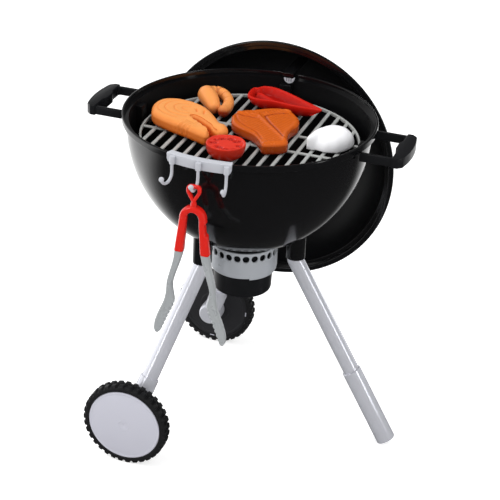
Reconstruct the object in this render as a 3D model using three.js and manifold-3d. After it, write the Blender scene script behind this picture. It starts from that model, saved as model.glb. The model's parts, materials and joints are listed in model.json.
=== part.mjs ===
// Toy barbecue grill: a kettle bowl on a stand of three legs, two of them with wheels. The lid
// hangs on the back of the rim, tongs hang on a hook rail at the front, and six play foods lie on
// the grate. Millimetres, Z up, X to the right along the handles, Y to the back. The pieces are
// placed from the middle of the rim, and the whole is set down on its floor at the end.

import * as THREE from 'three';
import { mergeVertices } from 'three/addons/utils/BufferGeometryUtils.js';
import Module from 'manifold-3d';

const wasm = await Module();
wasm.setup();

// Fits
const GAP = 0.3; // between two pieces that touch
const OVERRUN = 6; // how far a cut runs past the face that it opens
const WELD = 0.0001; // corners nearer than this are one

// Bowl
const RIM_RADIUS = 145;
const RIM_HEIGHT = 396; // of the rim above the floor
const WALL = 2.5;
const COLLAR_THICKNESS = 3;
const COLLAR_HEIGHT = 7.2;
const LEDGE_DEPTH = 6.2; // of the ledge inside the collar, below the rim
const SHOULDER_DEPTH = 9.8; // where the round wall starts, below the rim
const SHOULDER_INSET = 5.5; // of the wall from the collar
const BOWL_DEPTH = 149; // of the full ellipse below the shoulder
const FLAT_CUT = 6.3; // what the flat bottom cuts off the ellipse

// Lugs inside the bowl, which carry the grate
const LUG_COUNT = 4;
const LUG_WIDTH = 14;
const LUG_HEAD = 11.5; // top of a lug below the rim
const LUG_THICKNESS = 8;
const LUG_STEP = 11; // reach of its step beyond its face
const LUG_STEP_HEIGHT = 5;
const LUG_FOOT = 12; // height of the sloped part below the step

// Grate
const GRATE_DEPTH = 24.7; // of its top below the rim
const GRATE_CLEARANCE = 11.2; // of its edge from the bowl's wall
const GRATE_BAR = 4;
const BAR_PITCH = 14.1;
const CROSSBAR_SPAN = 45;
const GRATE_SHIFT_X = 1.2; // it lies loose and a little off centre
const GRATE_SHIFT_Y = -1.6;

// Legs, their sockets and sleeves
const LEG_COUNT = 3;
const LEG_PLACE = 63.7; // radius of the sockets
const LEG_RADIUS = 9.6;
const SOCKET_WALL = 1.4;
const SOCKET_DROP = 16.3; // lower end below the bowl's bottom
const SOCKET_BORE = 17.5;
const LEG_SPLAY = 30.4; // degrees from upright
const SLEEVE_WALL = 1.4;
const FOOT_LENGTH = 98.9; // of the foot sleeve
const FOOT_BORE = 30;
const KNEE_RISE = 46.3; // upper end of a knee sleeve above the axle
const KNEE_BORE = 16;

// Wheels, their bosses and axles
const WHEEL_RADIUS = 51.7;
const AXLE_OFFSET = 11.05; // of the axle to the left of the end of a leg's bore
const AXLE_RADIUS = 4;
const AXLE_HEAD_RADIUS = 6.5;
const AXLE_HEAD = 2;
const BOSS_RADIUS = 14.5;
const BOSS_OFFSET = 15.95; // of a boss's outer end from the end of a leg's bore
const BOSS_LENGTH = 22.3;
const BOSS_ROUND = 6;
const BOSS_BORE = 18;
const TYRE_WIDTH = 16.7;
const TYRE_INSET = 1; // of the tyre's inner side from the boss
const TREAD_RADIUS = 48.6;
const TYRE_SHOULDER = 1.5;
const LUGS_PER_ROW = 20;
const HUB_RADIUS = 44;
const HUB_WEB = 3;
const HUB_RIM_WALL = 4;
const HUB_BOSS_RADIUS = 9;
const HUB_INSET = 1; // of the web from the tyre's inner side
const CAP_THICKNESS = 2.4;
const CAP_EDGE = 1.2; // slope of the cap's edge
const CAP_RING_RADIUS = 6.5; // raised ring in the middle of the cap
const CAP_RING = 0.5;
const CLIP_COUNT = 4;
const CLIP_WIDTH = 6;
const CLIP_THICKNESS = 1.4;
const CLIP_PHASE = -3; // degrees

// Vent drum, collar and pot under the bowl
const DRUM_RADIUS = 36;
const DRUM_RING_HEIGHT = 2.4;
const COLLAR_RADIUS = 40;
const COLLAR_WALL = 2;
const COLLAR_DROP = 6; // of its top below the bowl's bottom
const COLLAR_LENGTH = 34.9;
const COLLAR_SHORTER = 1.7; // how much the left half ends above the right one
const COLLAR_TAPER = 4.5; // height of the tapered lower edge
const COLLAR_TAPER_IN = 1.2;
const COLLAR_SEAM = -60; // azimuth of the seam in degrees
const VENT_COUNT = 24;
const VENT_RADIUS = 3.7;
const VENT_DROP = 7.2; // of the row of holes below the collar's top
const POT_RADIUS = 35.2;
const POT_HEIGHT = 26.3;
const POT_ROUND = 3;

// Side handles
const GRIP_TOP_DEPTH = 6.7;
const GRIP_HEIGHT = 12.5;
const GRIP_HALF_LENGTH = 36.5;
const GRIP_STANDOFF = 30; // of the inner side from the rim
const GRIP_WIDTH = 10.5;
const GRIP_BULGE = 4.8; // of the outer side in the middle
const GRIP_BUMP = 3; // of the inner side in the middle
const GRIP_BUMP_HALF = 10;
const GRIP_CORNER = 7;
const GRIP_EDGE = 1;
const ARM_THICKNESS = 4;
const ARM_HEIGHT = 10;
const ARM_DROP = 1.6; // top of an arm below the grip's top

// Hook rail
const RAIL_START = -107.5; // azimuths in degrees
const RAIL_END = -78.3;
const RAIL_THICKNESS = 3.2;
const RAIL_DROP = 9.3;
const RAIL_TOP = 1.2;
const RAIL_LIP = 1.7;
const RAIL_LIP_DROP = 5;
const RAIL_CORNER = 4;
const HOOK_AZIMUTH_LEFT = -104;
const HOOK_AZIMUTH_MIDDLE = -92;
const HOOK_AZIMUTH_RIGHT = -80.2;
const HOOK_WIRE = 3.7;
const HOOK_BOSS_RADIUS = 3.3;
const HOOK_STANDOFF = 6; // of the shank from the rim
const HOOK_BEND = 9.5;
const HOOK_DEPTH = 27.5; // of the lowest point of the wire's middle below the rim
const HOOK_TIP_ANGLE = 14; // degrees short of a half turn
const HOOK_BALL_RADIUS = 3.1;

// Tongs
const TONGS_THICKNESS = 10;
const RING_THICKNESS = 5.5;
const RING_HALF_WIDTH = 8;
const RING_HOLE_HALF = 4.6;
const RING_HOLE_HEIGHT = 13.6;
const RING_BAR = 4.2;
const NECK_HALF = 3.4;
const ARCH_DROP = 32.5; // centre of the arch below the middle of the hook's wire
const ARCH_OUTER = 15;
const ARCH_INNER = 7;
const ARM_LENGTH = 41;
const ARM_LEAN = 4; // sideways over that length
const ARM_END_WIDTH = 10.5;
const ARM_NOTCH_TOP = 3;
const ARM_NOTCH_BOTTOM = 18;
const ARM_NOTCH = 2;
const TONGS_EDGE = 1.6;
const TENON_HALF = 2.4;
const TENON_LENGTH = 12;
const TENON_THICKNESS = 4;
const TENON_ROOT = 3; // of a tenon inside its jaw
const JAW_LENGTH = 107;
const JAW_WIDTH = 42; // from the tongs' middle to the jaw's outermost point
const JAW_THICKNESS = 9;
const JAW_EDGE = 1.2;
const TOOTH_COUNT = 8;
const TOOTH_RADIUS = 1.7;

// Lid
const LID_X = -15.6; // where it hangs
const LID_STANDOFF = 3.6; // of its mouth behind the rim
const LID_RISE = 21; // of the top of its inside above the rim
const LID_TILT = 1.3; // degrees
const LID_MOUTH_CLEARANCE = 2.5; // of its mouth round the bowl's rim
const LID_WALL = 2.5;
const LID_FLANGE = 3;
const LID_FLANGE_WIDTH = 6.5; // beyond its mouth
const LID_SEAT_DEPTH = 6; // of the step that rests on the rim
const LID_STEP = 5.5;
const LID_SHOULDER = 9;
const LID_DOME = 77; // height above the shoulder
const LID_HOOK_X = 2;
const LID_HOOK_WIDTH = 13.4;
const LID_HOOK_THICKNESS = 2.6;
const LID_HOOK_TAB = 10;
const LID_HOOK_FOOT = 24;
const LID_HANDLE_LENGTH = 96;
const LID_HANDLE_RISE = 32;
const LID_HANDLE_BAR = 13;
const LID_HANDLE_DEPTH = 15;
const LID_HANDLE_EDGE = 2.4;
const LID_HANDLE_POST = 15;
const LID_VENT_PLACE = 84; // from the lid's axis
const LID_VENT_RADIUS = 21;
const LID_VENT_THICKNESS = 2;
const LID_VENT_HOLES = 4;
const LID_VENT_HOLE_RADIUS = 4;
const LID_VENT_HOLE_PLACE = 12;

// Foods: place of the middle, length along X, width along Y, height
const SALMON_X = -67.5;
const SALMON_Y = -12;
const SALMON_LENGTH = 106;
const SALMON_WIDTH = 89;
const SALMON_HEIGHT = 16.4;
const STEAK_X = 15;
const STEAK_Y = 5.5;
const STEAK_LENGTH = 84;
const STEAK_WIDTH = 113;
const STEAK_HEIGHT = 13;
const BONE_GROOVE_WIDTH = 2.6;
const PRAWN_X = -60.7;
const PRAWN_Y = 60.5;
const PRAWN_LENGTH = 36;
const PRAWN_WIDTH = 55;
const PRAWN_RADIUS = 11.2;
const PRAWN_JOINTS = 8;
const TOMATO_X = -3;
const TOMATO_Y = -71;
const TOMATO_RADIUS = 22;
const TOMATO_HEIGHT = 17;
const TOMATO_BASE = 12;
const SEED_POCKETS = 6;
const SEED_POCKET_PLACE = 12;
const SEED_POCKET_LENGTH = 5.5;
const SEED_POCKET_WIDTH = 3.4;
const SEED_POCKET_DEPTH = 1.4;
const PEPPER_X = 17.5;
const PEPPER_SPACING = 2; // behind the steak
const PEPPER_LENGTH = 97;
const PEPPER_WIDTH = 47;
const PEPPER_HEIGHT = 16.4;
const PEPPER_WALL = 3.4;
const ONION_X = 94;
const ONION_Y = 11.5;
const ONION_LENGTH = 47;
const ONION_WIDTH = 53;
const ONION_HEIGHT = 20;

// Facets round a full circle
const BOWL_SIDES = 36;
const WHEEL_SIDES = 30;
const RING_SIDES = 28;
const ROD_SIDES = 14;
const WIRE_SIDES = 6;
const HOLE_SIDES = 8;
const WALL_STEPS = 5;
const CURVE_STEPS = 5;
const BEND_STEPS = 6;
const ELBOW_STEPS = 2;
const EDGE_STEPS = 3;
const LUG_STEPS = 4; // facets round the tyre for each lug of a row

// Outlines as shares of a food's length and width, from its middle
const SALMON_OUTLINE_SHARES = [
  [-0.48, 0.06], [-0.5, 0.27], [-0.43, 0.43], [-0.3, 0.5], [-0.14, 0.47], [0.04, 0.37], [0.18, 0.19],
  [0.33, -0.05], [0.44, -0.11], [0.5, -0.21], [0.48, -0.37], [0.37, -0.35], [0.22, -0.15], [0.06, 0.0],
  [0.02, -0.04], [0.16, -0.19], [0.27, -0.31], [0.33, -0.46], [0.28, -0.5], [0.15, -0.42], [-0.02, -0.34],
  [-0.18, -0.27], [-0.34, -0.18], [-0.43, -0.09],
];
const STEAK_OUTLINE_SHARES = [
  [-0.5, 0.09], [-0.49, 0.24], [-0.4, 0.34], [-0.27, 0.37], [-0.12, 0.46], [0.12, 0.5], [0.27, 0.41],
  [0.39, 0.28], [0.4, 0.08], [0.41, -0.08], [0.5, -0.31], [0.39, -0.5], [0.21, -0.5], [0.1, -0.34],
  [-0.11, -0.22], [-0.31, -0.13], [-0.45, -0.01],
];
const PEPPER_OUTLINE_SHARES = [
  [-0.49, -0.07], [-0.5, 0.29], [-0.43, 0.5], [-0.17, 0.46], [0.16, 0.14], [0.44, -0.18], [0.5, -0.45],
  [0.34, -0.5], [0.17, -0.46], [-0.05, -0.41], [-0.27, -0.39], [-0.4, -0.31],
];
const ONION_OUTLINE_SHARES = [
  [-0.5, -0.48], [-0.25, -0.47], [0.02, -0.5], [0.3, -0.39], [0.49, -0.1], [0.49, 0.24], [0.28, 0.46],
  [-0.04, 0.5], [-0.34, 0.35], [-0.47, 0.05], [-0.5, -0.26],
];
const PRAWN_LINE_SHARES = [
  [0.1, -0.28], [-0.12, -0.19], [-0.37, -0.03], [-0.5, 0.24], [-0.39, 0.48], [-0.04, 0.42], [0.33, 0.12],
  [0.5, -0.23], [0.48, -0.5],
];
const PRAWN_THICKNESS_SHARES = [0.58, 1, 0.88, 0.62, 0.6, 0.59, 0.55];
const PRAWN_WAIST_SHARE = 0.92;
const PRAWN_END_SHARE = 0.5;
// Height and breadth of each ring of a dome or bowl, as shares of its height and outline
const SLICE_SIDE_SHARES = [[0, 0.95], [0.16, 1], [0.8, 1], [0.95, 0.97], [1, 0.92]];
const PEPPER_SIDE_SHARES = [[0, 0.6], [0.18, 0.83], [0.5, 0.96], [1, 1]];
const ONION_SIDE_SHARES = [[0, 0.95], [0.16, 1], [0.48, 0.93], [0.76, 0.72], [0.93, 0.44], [1, 0.14]];
// T of the bone in the steak, as shares of its length and width
const BONE_LINE_SHARES = [
  [[-0.42, 0.18], [-0.12, 0.24]], [[-0.12, 0.24], [0.15, 0.41]], [[-0.12, 0.24], [0.42, -0.33]],
];
// Jaw of the tongs: share of the jaw's width at its outer and inner side, at shares of its length
const JAW_OUTER_SHARES = [
  [0, 0.47], [0.12, 0.51], [0.35, 0.65], [0.48, 0.68], [0.6, 0.74], [0.76, 0.9], [0.85, 0.99], [0.94, 1],
  [1, 0.92],
];
const JAW_INNER_SHARES = [
  [0.985, 0.85], [0.95, 0.8], [0.6, 0.45], [0.45, 0.51], [0.35, 0.5], [0.12, 0.32], [0, 0.24],
];

const finishes = {
  bowlBlack: finish(0x0b0b0c, 0.18, 0),
  mattBlack: finish(0x26272a, 0.6, 0),
  grate: finish(0xa9aca8, 0.42, 0.1),
  silver: finish(0xb9bcc2, 0.35, 0.35),
  leg: finish(0xc3c6cd, 0.32, 0.4),
  tyre: finish(0x17181a, 0.75, 0),
  hub: finish(0x303236, 0.65, 0),
  cap: finish(0xc9c9d4, 0.4, 0.15),
  steel: finish(0x9b9da0, 0.3, 0.9),
  red: finish(0xe0251b, 0.3, 0),
  jaw: finish(0x8f979d, 0.4, 0.2),
  salmon: finish(0xe88b4d, 0.5, 0),
  prawn: finish(0xe58a45, 0.5, 0),
  tomato: finish(0xd8281a, 0.4, 0),
  steak: finish(0xb2632f, 0.5, 0),
  pepper: finish(0xd42a1f, 0.4, 0),
  onion: finish(0xeeeeea, 0.45, 0),
};

function finish(color, roughness, metalness) {
  return new THREE.MeshStandardMaterial({ color, roughness, metalness });
}

// Solids and their meshes
function solid(geometry) {
  const plain = new THREE.BufferGeometry();
  plain.setAttribute('position', geometry.getAttribute('position'));
  plain.setIndex(geometry.getIndex());
  const welded = mergeVertices(plain, WELD);
  const corners = welded.getIndex().array;
  const kept = [];
  for (let i = 0; i < corners.length; i += 3) {
    const [a, b, c] = corners.slice(i, i + 3);
    if (a !== b && b !== c && c !== a) kept.push(a, b, c);
  }
  const vertProperties = new Float32Array(welded.getAttribute('position').array);
  const triVerts = new Uint32Array(kept);
  return new wasm.Manifold(new wasm.Mesh({ numProp: 3, vertProperties, triVerts }));
}

function piece(name, body, material) {
  const data = body.getMesh();
  const geometry = new THREE.BufferGeometry();
  geometry.setAttribute('position', new THREE.BufferAttribute(new Float32Array(data.vertProperties), 3));
  geometry.setIndex(new THREE.BufferAttribute(new Uint32Array(data.triVerts), 1));
  geometry.computeVertexNormals();
  const mesh = new THREE.Mesh(geometry, material);
  mesh.name = name;
  return mesh;
}

function union(bodies) {
  return bodies.reduce((whole, body) => whole.add(body));
}

function at(x, y, z) {
  return new THREE.Vector3(x, y, z);
}

// Point at a radius and height on the azimuth, in degrees, round the Z axis
function onRing(radius, azimuth, z) {
  const angle = THREE.MathUtils.degToRad(azimuth);
  return at(radius * Math.cos(angle), radius * Math.sin(angle), z);
}

// Round rod from one point to another
function rod(radius, from, to, sides = ROD_SIDES) {
  const along = new THREE.Vector3().subVectors(to, from);
  const geometry = new THREE.CylinderGeometry(radius, radius, along.length(), sides);
  const middle = new THREE.Vector3().addVectors(from, to).divideScalar(2);
  geometry.applyQuaternion(new THREE.Quaternion().setFromUnitVectors(at(0, 1, 0), along.normalize()));
  geometry.translate(middle.x, middle.y, middle.z);
  return solid(geometry);
}

// Round tube through the given points, mitred where it turns, with a radius at each point
function tube(points, radii, sides = ROD_SIDES) {
  const last = points.length - 1;
  const runs = points.slice(1).map((point, i) => point.clone().sub(points[i]).normalize());
  const across = new THREE.Vector3().crossVectors(runs[0], at(0, 1, 0)).normalize();
  const corners = [];
  points.forEach((centre, i) => {
    const incoming = runs[Math.max(i - 1, 0)];
    const outgoing = runs[Math.min(i, last - 1)];
    const normal = new THREE.Vector3().addVectors(incoming, outgoing).normalize();
    const up = new THREE.Vector3().crossVectors(incoming, across);
    for (let k = 0; k < sides; k += 1) {
      const angle = (2 * Math.PI * k) / sides;
      const offset = across.clone().multiplyScalar(radii[i] * Math.cos(angle));
      offset.addScaledVector(up, radii[i] * Math.sin(angle));
      offset.addScaledVector(incoming, -offset.dot(normal) / incoming.dot(normal));
      corners.push(...offset.add(centre).toArray());
    }
    across.applyQuaternion(new THREE.Quaternion().setFromUnitVectors(incoming, outgoing));
  });
  const faces = [];
  for (let i = 0; i < last; i += 1) {
    for (let k = 0; k < sides; k += 1) {
      const a = i * sides + k;
      const b = i * sides + ((k + 1) % sides);
      faces.push(a, b, b + sides, a, b + sides, a + sides);
    }
  }
  for (let k = 1; k < sides - 1; k += 1) {
    faces.push(0, k + 1, k, last * sides, last * sides + k, last * sides + k + 1);
  }
  const geometry = new THREE.BufferGeometry();
  geometry.setAttribute('position', new THREE.Float32BufferAttribute(corners, 3));
  geometry.setIndex(faces);
  return solid(geometry);
}

// Points of an even bend between two directions, about the corner where they would meet
function bend(from, corner, to, radius, steps) {
  const incoming = new THREE.Vector3().subVectors(corner, from).normalize();
  const outgoing = new THREE.Vector3().subVectors(to, corner).normalize();
  const setback = radius * Math.tan(incoming.angleTo(outgoing) / 2);
  const start = corner.clone().addScaledVector(incoming, -setback);
  const end = corner.clone().addScaledVector(outgoing, setback);
  const curve = new THREE.QuadraticBezierCurve3(start, corner, end);
  return [from, ...curve.getPoints(steps), to];
}

// Radius of a faceted bore whose flats stay clear of a rod by the gap
function boreFor(radius, sides = ROD_SIDES) {
  return (radius + GAP) / Math.cos(Math.PI / sides);
}

// Radius of a rod that stays clear of the flats of a faceted bore by the gap
function rodFor(radius, sides = ROD_SIDES) {
  return radius * Math.cos(Math.PI / sides) - GAP;
}

function ball(radius, centre, sides = ROD_SIDES) {
  const geometry = new THREE.SphereGeometry(radius, sides, sides / 2);
  geometry.translate(centre.x, centre.y, centre.z);
  return solid(geometry);
}

// Profile of radius and height turned round the Z axis; it starts and ends on the axis, or closes
function turned(profile, sides) {
  const points = profile.map(([radius, height]) => new THREE.Vector2(radius, height));
  if (THREE.ShapeUtils.area(points) < 0) points.reverse();
  const geometry = new THREE.LatheGeometry(points, sides);
  geometry.rotateX(Math.PI / 2);
  return geometry;
}

function revolve(profile, sides = RING_SIDES) {
  return solid(turned(profile, sides));
}

function outline(points) {
  return new THREE.Shape(points.map(([x, y]) => new THREE.Vector2(x, y)));
}

// Outline in plan raised from one height to another, with a rounded edge where one is given
function raise(shape, bottom, top, edge = 0, edgeSteps = 1) {
  const geometry = new THREE.ExtrudeGeometry(shape, {
    depth: top - bottom - 2 * edge,
    bevelEnabled: edge > 0,
    bevelThickness: edge,
    bevelSize: edge,
    bevelOffset: -edge,
    bevelSegments: edgeSteps,
    curveSegments: CURVE_STEPS,
  });
  geometry.translate(0, 0, bottom + edge);
  return geometry;
}

// Outline in the X and Z directions, of the given thickness about the plane Y = 0
function plate(shape, thickness, edge = 0, edgeSteps = 1) {
  const geometry = raise(shape, -thickness / 2, thickness / 2, edge, edgeSteps);
  geometry.rotateX(Math.PI / 2);
  return geometry;
}

// Box between two values of X, two of Y and two of Z
function block(x0, x1, y0, y1, z0, z1) {
  const geometry = new THREE.BoxGeometry(Math.abs(x1 - x0), Math.abs(y1 - y0), Math.abs(z1 - z0));
  geometry.translate((x0 + x1) / 2, (y0 + y1) / 2, (z0 + z1) / 2);
  return solid(geometry);
}

// Quarter of an ellipse as radius and height, from its widest level down to a given depth
function bowlCurve(radius, depth, widest, lowest) {
  const end = Math.asin((widest - lowest) / depth);
  const points = [];
  for (let i = 0; i <= WALL_STEPS; i += 1) {
    const angle = (end * i) / WALL_STEPS;
    points.push([radius * Math.cos(angle), widest - depth * Math.sin(angle)]);
  }
  return points;
}

const wallRadius = RIM_RADIUS - SHOULDER_INSET;
const flatDepth = SHOULDER_DEPTH + BOWL_DEPTH - FLAT_CUT; // of the flat bottom below the rim
const socketDepth = flatDepth + SOCKET_DROP;

// Outside of the bowl as a full solid, from its flat bottom to the rim
function bowlForm() {
  const wall = bowlCurve(wallRadius, BOWL_DEPTH, -SHOULDER_DEPTH, -flatDepth);
  return revolve([
    [0, 0],
    [RIM_RADIUS, 0],
    [RIM_RADIUS, -COLLAR_HEIGHT],
    ...wall,
    [0, -flatDepth],
  ], BOWL_SIDES);
}

function bowlHollow() {
  const wall = bowlCurve(wallRadius - WALL, BOWL_DEPTH - WALL, -SHOULDER_DEPTH, -flatDepth + WALL);
  return revolve([
    [0, OVERRUN],
    [RIM_RADIUS - COLLAR_THICKNESS, OVERRUN],
    [RIM_RADIUS - COLLAR_THICKNESS, -LEDGE_DEPTH],
    [wallRadius - WALL, -LEDGE_DEPTH],
    ...wall,
    [0, -flatDepth + WALL],
  ], BOWL_SIDES);
}

const grateRadius = wallRadius - WALL - GRATE_CLEARANCE;
const grateSeat = -GRATE_DEPTH - GRATE_BAR - GAP;

function grateLug(azimuth) {
  const face = wallRadius - WALL - LUG_THICKNESS;
  const reach = face - LUG_STEP;
  const section = outline([
    [RIM_RADIUS, -LUG_HEAD],
    [face, -LUG_HEAD],
    [face, grateSeat],
    [reach, grateSeat],
    [reach, grateSeat - LUG_STEP_HEIGHT],
    [RIM_RADIUS, grateSeat - LUG_STEP_HEIGHT - LUG_FOOT],
  ]);
  const geometry = plate(section, LUG_WIDTH);
  geometry.rotateZ(THREE.MathUtils.degToRad(azimuth));
  return solid(geometry);
}

// Azimuths of the legs, against the clock from the one at the right
const [rightLeg, rearLeg, frontLeg] = [0, 1, 2].map((leg) => (360 * leg) / LEG_COUNT);

function bowl() {
  const form = bowlForm();
  const socketEnd = -socketDepth;
  let body = form;
  for (const azimuth of [rightLeg, rearLeg, frontLeg]) {
    const top = onRing(LEG_PLACE, azimuth, -SHOULDER_DEPTH);
    const bottom = onRing(LEG_PLACE, azimuth, socketEnd);
    body = body.add(rod(LEG_RADIUS + GAP + SOCKET_WALL, bottom, top));
  }
  body = body.subtract(bowlHollow());
  for (const azimuth of [rightLeg, rearLeg, frontLeg]) {
    const mouth = onRing(LEG_PLACE, azimuth, socketEnd - OVERRUN);
    const end = onRing(LEG_PLACE, azimuth, socketEnd + SOCKET_BORE);
    body = body.subtract(rod(boreFor(LEG_RADIUS), mouth, end));
  }
  for (let i = 0; i < LUG_COUNT; i += 1) {
    body = body.add(grateLug((360 * i) / LUG_COUNT).intersect(form));
  }
  return piece('bowl', body, finishes.bowlBlack);
}

const gripInner = RIM_RADIUS + GRIP_STANDOFF;
const gripOuter = gripInner + GRIP_WIDTH;

// Handle of one side: 1 for the right, -1 for the left
function handle(name, side) {
  const inside = side * gripInner;
  const outside = side * (gripOuter + GRIP_EDGE);
  const middle = side * (gripOuter + 2 * GRIP_BULGE - GRIP_EDGE);
  const corner = side * gripOuter;
  const beforeCorner = side * (gripOuter - GRIP_CORNER / 2);
  const bump = side * (gripInner - GRIP_BUMP);
  const end = GRIP_HALF_LENGTH;
  const plan = new THREE.Shape();
  plan.moveTo(inside, -end);
  plan.lineTo(beforeCorner, -end);
  plan.quadraticCurveTo(corner, -end, outside, -end + GRIP_CORNER);
  plan.quadraticCurveTo(middle, 0, outside, end - GRIP_CORNER);
  plan.quadraticCurveTo(corner, end, beforeCorner, end);
  plan.lineTo(inside, end);
  plan.lineTo(inside, 2 * GRIP_BUMP_HALF);
  plan.quadraticCurveTo(inside, GRIP_BUMP_HALF, bump, GRIP_BUMP_HALF);
  plan.lineTo(bump, -GRIP_BUMP_HALF);
  plan.quadraticCurveTo(inside, -GRIP_BUMP_HALF, inside, -2 * GRIP_BUMP_HALF);
  let body = solid(raise(plan, -GRIP_TOP_DEPTH - GRIP_HEIGHT, -GRIP_TOP_DEPTH, GRIP_EDGE));
  const armTop = -GRIP_TOP_DEPTH - ARM_DROP;
  const armEnd = gripInner + GRIP_EDGE + WALL;
  for (const front of [-1, 1]) {
    const outer = front * (end - GRIP_EDGE);
    const inner = outer - front * ARM_THICKNESS;
    const armStart = (side * wallRadius) / 2;
    body = body.add(block(armStart, side * armEnd, outer, inner, armTop - ARM_HEIGHT, armTop));
  }
  return piece(name, body.subtract(handleSeat()), finishes.mattBlack);
}

// Room of the bowl's wall and collar, with the gap, which cuts the handles' arms
function handleSeat() {
  const wall = bowlCurve(wallRadius + GAP, BOWL_DEPTH, -SHOULDER_DEPTH - GAP, -flatDepth);
  return revolve([
    [0, OVERRUN],
    [RIM_RADIUS + GAP, OVERRUN],
    [RIM_RADIUS + GAP, -COLLAR_HEIGHT - GAP],
    ...wall,
    [0, -flatDepth],
  ], BOWL_SIDES);
}

const collarTopDepth = flatDepth + COLLAR_DROP;

function ventDrum() {
  const ring = rodFor(COLLAR_RADIUS - COLLAR_WALL, VENT_COUNT);
  const top = -flatDepth - GAP;
  const bottom = -collarTopDepth - COLLAR_LENGTH;
  const upper = -collarTopDepth - GAP;
  const lower = bottom + COLLAR_TAPER + COLLAR_SHORTER + DRUM_RING_HEIGHT + GAP;
  const body = revolve([
    [0, top],
    [DRUM_RADIUS, top],
    [DRUM_RADIUS, upper],
    [ring, upper],
    [ring, upper - DRUM_RING_HEIGHT],
    [DRUM_RADIUS, upper - DRUM_RING_HEIGHT],
    [DRUM_RADIUS, lower],
    [ring, lower],
    [ring, lower - DRUM_RING_HEIGHT],
    [DRUM_RADIUS, lower - DRUM_RING_HEIGHT],
    [DRUM_RADIUS, bottom],
    [0, bottom],
  ], VENT_COUNT);
  return piece('vent_drum', body, finishes.mattBlack);
}

// Half of the silver collar that lies on the side of the seam given by 1 or -1
function ashCollar(name, side, length) {
  const top = -collarTopDepth;
  const bottom = top - length;
  const inner = COLLAR_RADIUS - COLLAR_WALL;
  let body = revolve([
    [inner, top],
    [COLLAR_RADIUS, top],
    [COLLAR_RADIUS, bottom + COLLAR_TAPER],
    [COLLAR_RADIUS - COLLAR_TAPER_IN, bottom],
    [inner, bottom],
    [inner, top],
  ], VENT_COUNT);
  const pitch = 360 / VENT_COUNT;
  for (let i = 0; i < VENT_COUNT; i += 1) {
    const azimuth = pitch * (i + 1 / 2);
    const height = top - VENT_DROP;
    const from = onRing(inner - OVERRUN, azimuth, height);
    const to = onRing(COLLAR_RADIUS + OVERRUN, azimuth, height);
    body = body.subtract(rod(VENT_RADIUS, from, to, HOLE_SIDES));
  }
  const seam = THREE.MathUtils.degToRad(COLLAR_SEAM);
  const reach = 2 * COLLAR_RADIUS;
  const half = new THREE.BoxGeometry(reach, reach, 2 * COLLAR_LENGTH + reach);
  half.translate(0, side * (reach / 2 + GAP / 2), top);
  half.rotateZ(seam);
  return piece(name, body.intersect(solid(half)), finishes.silver);
}

function ashPot() {
  const top = -collarTopDepth - COLLAR_LENGTH - GAP;
  const bottom = top - POT_HEIGHT;
  const edge = [];
  for (let i = 0; i <= EDGE_STEPS; i += 1) {
    const angle = (Math.PI * i) / (2 * EDGE_STEPS);
    const inset = POT_ROUND * (1 - Math.cos(angle));
    edge.push([POT_RADIUS - inset, bottom + POT_ROUND * (1 - Math.sin(angle))]);
  }
  const body = revolve([[0, top], [POT_RADIUS, top], ...edge, [0, bottom]]);
  return piece('ash_pot', body, finishes.mattBlack);
}

// Plan of the opening between two bars and two crossbars, cut short by the ring
function grateCell(left, right, low, high) {
  const inner = grateRadius - GRATE_BAR;
  const reach = (x) => Math.sqrt(Math.max(inner ** 2 - x ** 2, 0));
  const upper = [];
  const lower = [];
  for (const share of [0, 0.5, 1]) {
    const x = THREE.MathUtils.lerp(left, right, share);
    const top = Math.min(high, reach(x));
    const bottom = Math.max(low, -reach(x));
    const open = top - bottom > GRATE_BAR / 2;
    if (open && (share !== 0.5 || top < high)) upper.push(new THREE.Vector2(x, top));
    if (open && (share !== 0.5 || bottom > low)) lower.unshift(new THREE.Vector2(x, bottom));
  }
  return [...upper, ...lower];
}

function grate() {
  const low = -GRATE_DEPTH - GRATE_BAR;
  const disc = [[0, low], [grateRadius, low], [grateRadius, -GRATE_DEPTH], [0, -GRATE_DEPTH]];
  let body = revolve(disc, BOWL_SIDES);
  const bar = GRATE_BAR / 2;
  const barCount = 2 * Math.floor((grateRadius - GRATE_BAR) / BAR_PITCH);
  const rows = [-grateRadius, -CROSSBAR_SPAN / 2, CROSSBAR_SPAN / 2, grateRadius];
  for (let i = 0; i <= barCount; i += 1) {
    const right = BAR_PITCH * (i - (barCount - 1) / 2) - bar;
    const left = right - BAR_PITCH + 2 * bar;
    for (let k = 0; k < rows.length - 1; k += 1) {
      const cell = grateCell(left, right, rows[k] + bar, rows[k + 1] - bar);
      if (cell.length < 3) continue;
      body = body.subtract(solid(raise(new THREE.Shape(cell), low - OVERRUN, -GRATE_DEPTH + OVERRUN)));
    }
  }
  const mesh = piece('grate', body, finishes.grate);
  mesh.position.set(GRATE_SHIFT_X, GRATE_SHIFT_Y, 0);
  return mesh;
}

// Legs. The tube leaves its socket straight down, and bends outwards just below it
const splay = THREE.MathUtils.degToRad(LEG_SPLAY);
const bendDepth = socketDepth + LEG_RADIUS * Math.tan(splay / 2) + GAP;
const sleeveRadius = LEG_RADIUS + GAP + SLEEVE_WALL;

// Middle of a leg's tube at a depth below the rim
function legPoint(azimuth, depth) {
  return onRing(LEG_PLACE + (depth - bendDepth) * Math.tan(splay), azimuth, -depth);
}

// Depth that is reached after a length along the leg
function depthAfter(depth, length) {
  return depth + length * Math.cos(splay);
}

function legTube(name, azimuth, endDepth) {
  const top = onRing(LEG_PLACE, azimuth, -socketDepth + SOCKET_BORE - GAP);
  const elbow = legPoint(azimuth, bendDepth);
  const route = bend(top, elbow, legPoint(azimuth, endDepth), LEG_RADIUS, ELBOW_STEPS);
  return piece(name, tube(route, route.map(() => LEG_RADIUS)), finishes.leg);
}

const footEndDepth = RIM_HEIGHT - sleeveRadius * Math.sin(splay);
const footTopDepth = depthAfter(footEndDepth, -FOOT_LENGTH);

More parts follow.
